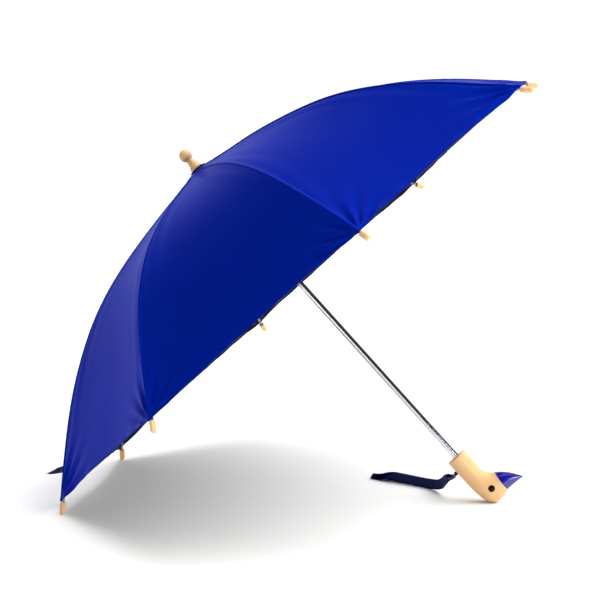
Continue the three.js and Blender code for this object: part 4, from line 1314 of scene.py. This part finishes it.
@dataclass
class DuckHandle:
    """The carved handle: a round grip that turns into a duck's head, its beak painted, its eyes beads."""

    place: UmbrellaFrame
    top: float = -GRIP_DROP
    grip: float = 12.5
    straight: float = 28.5
    throat: float = 17.6
    throat_turn: float = math.radians(64)
    head_half: float = 14.2
    beak_half: float = 10.6
    beak_start: float = 20.7
    beak_foot: float = 70.8
    beak_length: float = 23.3
    beak_crown: float = 2.6
    beak_point: float = 0.8
    paint_step: float = 0.25
    eye_out: float = 8.3
    eye_depth: float = 55.3
    eye_face: float = 13.2
    eye_radius: float = 3.9
    eye_stand: float = 1.7
    sides: int = 56
    bore_depth: float = 45
    strap_drill: float = 2.6
    strap_drill_depth: float = 14

    def inner_side(self, share: float) -> Vector:
        """The head's throat line, from the grip at 0 to the beak at 1, as X and depth below the grip's top."""
        angle = share * self.throat_turn
        return Vector((self.grip + self.throat * (1 - math.cos(angle)),
                       self.straight + self.throat * math.sin(angle)))

    def outer_side(self, share: float) -> Vector:
        """The line over the back of the head, from the grip at 0 to the beak at 1."""
        corners = (Vector((-self.grip, self.straight)), Vector((-self.grip, 66)), Vector((-7, 82)),
                   Vector((self.beak_start, self.beak_foot)))
        u = 1 - share
        weights = (u ** 3, 3 * u * u * share, 3 * u * share * share, share ** 3)
        return sum((corner * weight for corner, weight in zip(corners, weights)), Vector((0, 0)))

    def section(self, inner: Vector, outer: Vector, half_width: float) -> Ring:
        """One oval section between a point of the throat line and a point of the back."""
        middle = (inner + outer) / 2
        reach = inner - outer
        return Ring((middle.x * MM, 0, (self.top - middle.y) * MM), reach.length / 2 * MM, half_width * MM,
                    math.atan2(-reach.y, reach.x))

    def rings(self) -> list[Ring]:
        """Sections from the top of the grip to the point of the beak."""
        found = []
        for inset, depth in ((0.9, 0), (0.3, 0.25), (0.05, 0.7), (0, 1.4)):
            found.append(self.section(Vector((self.grip - inset, depth)), Vector((inset - self.grip, depth)),
                                      self.grip - inset))
        for depth in (8, 15, 22):
            found.append(self.section(Vector((self.grip, depth)), Vector((-self.grip, depth)), self.grip))
        steps = 22
        for step in range(steps + 1):
            share = step / steps
            swell = math.sin(share * math.pi) ** 1.3
            width = self.grip + (self.beak_half - self.grip) * share ** 2 + (self.head_half - self.grip) * swell
            found.append(self.section(self.inner_side(share), self.outer_side(share), width))
        found.extend(self.beak_rings())
        return found

    def beak_rings(self) -> list[Ring]:
        """Sections of the beak, the first one a hair inside the wood that it grows from."""
        top = self.inner_side(1)
        found = []
        steps = 15
        for step in range(steps + 1):
            share = step / steps
            rise = self.beak_foot - top.y - 0.5
            height = rise + (2 * self.beak_point - rise) * share + self.beak_crown * math.sin(share * math.pi)
            width = (self.beak_half - 0.4) + (self.beak_point - self.beak_half + 0.4) * share ** 1.15
            lower = self.beak_foot - 0.2 - 0.5 * math.sin(share * math.pi)
            far = self.beak_start + self.beak_length * share + self.paint_step
            near = far + (top.x - self.beak_start) * (1 - share)
            found.append(self.section(Vector((near, lower - height)), Vector((far, lower)), width))
        tip = self.beak_start + self.beak_length + 0.8
        found.append(self.section(Vector((tip, self.beak_foot - 0.9)), Vector((tip, self.beak_foot - 0.5)), 0.3))
        return found

    def carve(self) -> bpy.types.Object:
        """Carves the handle, bores it for the shaft, and drills the strap's hole and the eyes' seats."""
        piece = stack_rings("carved_handle", self.rings(), sides=self.sides)
        sink_bore(piece, self.top * MM, SHAFT_BORE * MM, (self.grip - 0.9) * MM, -self.bore_depth * MM)
        hole = -(STRAP_HOLE_DROP - self.top) * MM
        drills = [((-self.grip * MM, 0, hole), (0, math.pi / 2, 0), self.strap_drill * MM,
                   self.strap_drill_depth * MM)]
        for side in (1, -1):
            drills.append(((self.eye_out * MM, side * self.eye_face * MM, (self.top - self.eye_depth) * MM),
                           (math.pi / 2, 0, 0), (self.eye_radius + 0.25) * MM, 5.4 * MM))
        for where, turn, radius, depth in drills:
            bpy.ops.object.select_all(action="DESELECT")
            bpy.ops.mesh.primitive_cylinder_add(vertices=32, radius=radius, depth=depth, location=where,
                                                rotation=turn)
            cut_away(piece, bpy.context.object)
        return piece

    def paint(self, piece: bpy.types.Object) -> None:
        """Paints the beak, from the line where the wood stops."""
        piece.data.materials.append(BEECH.material())
        piece.data.materials.append(ENAMEL.material())
        top = self.inner_side(1)
        for face in piece.data.polygons:
            depth = self.top - face.center.z / MM
            fall = (depth - top.y) / (self.beak_foot - top.y)
            line = top.x + (self.beak_start - top.x) * fall + self.paint_step / 3
            face.material_index = int(fall > -0.1 and face.center.x / MM > line)

    def bead(self, name: str, side: int) -> None:
        """Makes one eye on its stem and sets it in the head.

        Args:
            name: The bead's name; the CAD node has the same word for its side.
            side: 1 for the far side of the head and -1 for the near side.
        """
        r, face = self.eye_radius, self.eye_face
        profile = [(1.2, face - 7.1), (1.2, face - 2.5), (r - 0.3, face - 2.4), (r, face - 2.1), (r, face - 0.1)]
        for step in range(1, 9):
            angle = step / 9 * math.pi / 2
            profile.append((r * math.cos(angle), face + self.eye_stand * math.sin(angle)))
        profile.append((0.05, face + self.eye_stand))
        bead = stack_rings(f"bead_{name}", turned_rings(profile), sides=40, pointed=True)
        there = Matrix.Translation((self.eye_out * MM, 0, (self.top - self.eye_depth) * MM))
        turn = Matrix.Rotation(-side * math.pi / 2, 4, "X")
        settle(bead, self.place.matrix() @ there @ turn, BEAD, "root")
        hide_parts(name)

    def build(self) -> None:
        """Makes the handle and both eyes."""
        piece = self.carve()
        self.paint(piece)
        settle(piece, self.place.matrix(), BEECH, "root")
        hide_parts("handle")
        self.bead("eye_far", 1)
        self.bead("eye_near", -1)
        LOG.info("handle carved and painted, 2 eyes set")


@dataclass
class WristStrap:
    """A loop of ribbon that leaves the back of the grip and lies on edge on the floor."""

    place: UmbrellaFrame
    width: float = 12.5 * MM
    neck_width: float = 6.4 * MM
    thickness: float = 0.7 * MM
    hole_drop: float = (GRIP_DROP + STRAP_HOLE_DROP) * MM
    grip: float = 12.5 * MM
    sunk: float = 5 * MM
    clear: float = 0.3 * MM

    def route(self) -> np.ndarray:
        """The middle line between the loop's two runs: a smooth curve of evenly spaced points."""
        matrix = self.place.matrix()
        hole = matrix @ Vector((-self.grip, 0, -self.hole_drop))
        inward = self.place.beakwards
        floor = self.width / 2 + self.clear
        ends = [hole + inward * self.sunk, hole, hole - inward * 6 * MM]
        laid = ((13, 17, 0.4), (22, 38, 0.85), (37, 56, 1.0), (73, 79, 1.0), (109, 100, 1.0))
        for back, off, down in laid:
            ends.append(Vector((hole.x - back * MM, off * MM, hole.z + (floor - hole.z) * down)))
        points = [np.array(p) for p in ends]
        points = [2 * points[0] - points[1]] + points + [2 * points[-1] - points[-2]]
        line = []
        for a, b, c, d in zip(points, points[1:], points[2:], points[3:]):
            for t in np.linspace(0, 1, 24, endpoint=False):
                line.append(0.5 * (2 * b + (c - a) * t + (2 * a - 5 * b + 4 * c - d) * t * t
                                   + (3 * b - a - 3 * c + d) * t ** 3))
        line.append(points[-2])
        dense = np.array(line)
        steps = np.concatenate([[0], np.cumsum(np.linalg.norm(np.diff(dense, axis=0), axis=1))])
        even = np.linspace(0, steps[-1], 96)
        return np.stack([np.interp(even, steps, dense[:, k]) for k in range(3)], axis=-1)

    def build(self) -> None:
        """Lays the ribbon out along its route, round the far end and back."""
        line = self.route()
        along = np.gradient(line, axis=0)
        along /= np.linalg.norm(along, axis=1)[:, None]
        travel = np.concatenate([[0], np.cumsum(np.linalg.norm(np.diff(line, axis=0), axis=1))])
        total = travel[-1]
        side = np.stack([-along[:, 1], along[:, 0], 0 * along[:, 0]], axis=-1)
        weak = np.linalg.norm(side, axis=1) < 0.3
        side[weak] = (0, 1, 0)
        side /= np.linalg.norm(side, axis=1)[:, None]
        up = np.cross(side, along)
        up /= np.linalg.norm(up, axis=1)[:, None]
        up *= np.sign(up[:, 2:3] + 1e-9)
        half_gap = (0.55 * MM + 1.7 * MM * bell(travel - 19 * MM, 9 * MM)
                    + 1.6 * MM * bell(travel - total + 14 * MM, 26 * MM))
        half = (self.neck_width + (self.width - self.neck_width) * smooth(travel, 14 * MM, 50 * MM)) / 2
        twist = math.radians(95) * (1 - smooth(travel, 4 * MM, 46 * MM))
        lean = math.radians(16) * smooth(travel, total - 80 * MM, total - 10 * MM)
        flat = math.radians(74) * smooth(travel, total - 42 * MM, total - 6 * MM)
        line[:, 2] -= (1 - np.cos(flat)) * half * 0.9
        rows: list[tuple[np.ndarray, np.ndarray, np.ndarray, float]] = []
        for way in (1, -1):
            run = []
            for k in range(len(line)):
                turn = twist[k] + way * lean[k] + flat[k]
                wide = up[k] * math.cos(turn) + side[k] * math.sin(turn)
                off = side[k] * math.cos(turn) - up[k] * math.sin(turn)
                run.append((line[k] + way * half_gap[k] * off, wide, off * way, half[k]))
            rows.extend(run if way == 1 else reversed(run))
            if way == 1:
                rows.extend(self.hairpin(line[-1], along[-1], run[-1], half_gap[-1]))
        self.lay(rows)

    def hairpin(self, end: np.ndarray, along: np.ndarray, last: tuple[Any, ...],
                reach: float) -> list[tuple[Any, ...]]:
        """Rows of the ribbon round the loop's far end.

        Args:
            end: Where the route ends.
            along: The way that it is going there.
            last: The last row of the outward run.
            reach: Half the space between the runs there.

        Returns:
            Rows through half a turn.
        """
        _, wide, off, half = last
        found = []
        for angle in np.linspace(0, math.pi, 11)[1:-1]:
            out = off * math.cos(angle) + along * math.sin(angle)
            found.append((end + out * reach, wide, out, half))
        return found

    def lay(self, rows: list[tuple[Any, ...]]) -> None:
        """Args:
            rows: Middle, way across, way out and half width of each row.
        """
        shares = np.linspace(-1, 1, 9)
        middle = np.array([row[0] for row in rows])
        wide = np.array([row[1] for row in rows])
        out = np.array([row[2] for row in rows])
        half = np.array([row[3] for row in rows])
        floor = self.clear
        grids = []
        for offset in (self.thickness / 2, -self.thickness / 2):
            selvedge = 0.1 * MM * smooth(np.abs(shares), 0.7, 0.95) * np.sign(offset)
            grid = (middle[:, None] + wide[:, None] * (half[:, None] * shares)[..., None]
                    + out[:, None] * (offset + selvedge)[None, :, None])
            grid[..., 2] = np.maximum(grid[..., 2], floor)
            grids.append(grid)
        length = np.concatenate([[0], np.cumsum(np.linalg.norm(np.diff(middle, axis=0), axis=1))])
        cloth = np.stack([half[:, None] * shares, length[:, None] + 0 * shares[None, :]], axis=-1) / MM
        strap = skin("ribbon_wrist_strap", grids[0], grids[1], cloth)
        settle(strap, Matrix.Identity(4), RIBBON, "root")
        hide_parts("wrist_strap")
        LOG.info("wrist strap: %.0f mm of ribbon", length[-1] / MM)


# ---------------------------------------------------------------- studio
@dataclass
class Studio:
    """Camera, soft lights, a pale floor, and a room that is white only beyond and above the umbrella."""

    place: UmbrellaFrame
    azimuth: float = math.radians(8.08)
    elevation: float = math.radians(7.44)
    roll: float = math.radians(0.52)
    distance: float = 2.2625
    shift_right: float = -0.0075
    shift_up: float = -0.0127
    lens: float = 114.6
    rim_drop: float = 0.1866
    floor_radius: float = 9.0
    aim_height: float = 0.25
    overhead_strength: float = 4.6
    overhead_spread: float = math.radians(75)

    def camera(self) -> None:
        """Sets the camera in front of the canopy's rim, a little above it."""
        rim = self.place.crown - self.place.upwards * self.rim_drop
        turn = Matrix.Rotation(self.azimuth, 4, "Z") @ Matrix.Rotation(math.pi / 2 - self.elevation, 4, "X")
        away = turn @ Vector((self.shift_right, self.shift_up, self.distance))
        held = turn @ Matrix.Rotation(self.roll, 4, "Z")
        data = bpy.data.cameras.new("studio_camera")
        data.lens = self.lens
        data.sensor_width = 36
        camera = bpy.data.objects.new("studio_camera", data)
        camera.matrix_world = Matrix.Translation(rim + away) @ held
        bpy.context.scene.collection.objects.link(camera)
        bpy.context.scene.camera = camera

    def floor(self) -> None:
        """Rolls out the floor, its corners rounded off."""
        bpy.ops.object.select_all(action="DESELECT")
        bpy.ops.mesh.primitive_circle_add(vertices=64, radius=self.floor_radius, fill_type="NGON", location=(0, 0, 0))
        sheet = bpy.context.object
        sheet.name = "studio_floor"
        sheet.data.materials.append(LAMINATE.material())
        sheet.select_set(False)

    def light(self, name: str, towards: tuple[float, float, float], size: float, power: float,
              tint: str) -> None:
        """Hangs one square soft light that faces the umbrella.

        Args:
            name: The light's name.
            towards: The way from the umbrella to the light; its length is the distance.
            size: Its side in metres.
            power: Its power in watts.
            tint: Its colour.
        """
        data = bpy.data.lights.new(name, "AREA")
        data.size = size
        data.energy = power
        data.color = linear(tint)[:3]
        lamp = bpy.data.objects.new(name, data)
        lamp.location = Vector((0, 0, self.aim_height)) + Vector(towards)
        lamp.rotation_euler = Vector(towards).to_track_quat("Z", "Y").to_euler()
        bpy.context.scene.collection.objects.link(lamp)

    def overhead(self) -> None:
        """Hangs the broad light that whitens the floor and lights the top of the canopy."""
        data = bpy.data.lights.new("overhead_diffuser", "SUN")
        data.energy = self.overhead_strength
        data.angle = self.overhead_spread
        lamp = bpy.data.objects.new("overhead_diffuser", data)
        lamp.visible_glossy = False
        lamp.rotation_euler = Vector((0.46, 0.06, 0.88)).to_track_quat("Z", "Y").to_euler()
        bpy.context.scene.collection.objects.link(lamp)

    def surroundings(self) -> None:
        """Lights the room: white beyond the umbrella and above it, dim on the camera's side."""
        world = bpy.data.worlds.new("studio_room")
        bpy.context.scene.world = world
        world.use_nodes = True
        tree = world.node_tree
        tree.nodes.clear()
        way = add_node(tree, "ShaderNodeTexCoord").outputs["Generated"]
        axes = add_node(tree, "ShaderNodeSeparateXYZ", {0: way})
        behind = add_node(tree, "ShaderNodeMapRange",
                          {0: axes.outputs["Y"], 1: 0.1, 2: 0.9, 3: 0.0, 4: 1.1},
                          interpolation_type="SMOOTHSTEP")
        left = add_node(tree, "ShaderNodeMapRange",
                        {0: axes.outputs["X"], 1: -0.3, 2: -0.9, 3: 0.05, 4: 0.25},
                        interpolation_type="SMOOTHSTEP")
        above = add_node(tree, "ShaderNodeMapRange",
                         {0: axes.outputs["Z"], 1: 0.75, 2: 0.95, 3: 0.0, 4: 0.7},
                         interpolation_type="SMOOTHSTEP")
        upper = add_node(tree, "ShaderNodeMath", {0: above.outputs[0], 1: left.outputs[0]},
                         operation="MAXIMUM")
        level = add_node(tree, "ShaderNodeMath", {0: behind.outputs[0], 1: upper.outputs[0]},
                         operation="MAXIMUM")
        room = add_node(tree, "ShaderNodeBackground",
                        {"Color": linear("#FFFFFF"), "Strength": level.outputs[0]})
        output = add_node(tree, "ShaderNodeOutputWorld")
        tree.links.new(room.outputs[0], output.inputs["Surface"])

    def build(self) -> None:
        """Sets up everything but the camera, which is made first."""
        self.floor()
        self.surroundings()
        self.overhead()
        self.light("side_softbox", (1.8, -1.5, 0.35), 0.8, 22, "#FFFBF4")
        bpy.context.scene.view_settings.view_transform = "Standard"
        LOG.info("studio set")


def main() -> None:
    """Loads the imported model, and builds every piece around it."""
    logging.basicConfig(level=logging.INFO, format="%(name)s: %(message)s")
    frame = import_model()
    place = UmbrellaFrame.from_joints(frame["joints"])
    studio = Studio(place)
    studio.camera()
    canopy = Canopy(place)
    SteelWork().build()
    canopy.build()
    TieStrap(canopy).build()
    Shaft(place).build()
    WoodenTips(place).build()
    Finial(place).build()
    DuckHandle(place).build()
    WristStrap(place).build()
    studio.build()


if __name__ == "__main__":
    main()
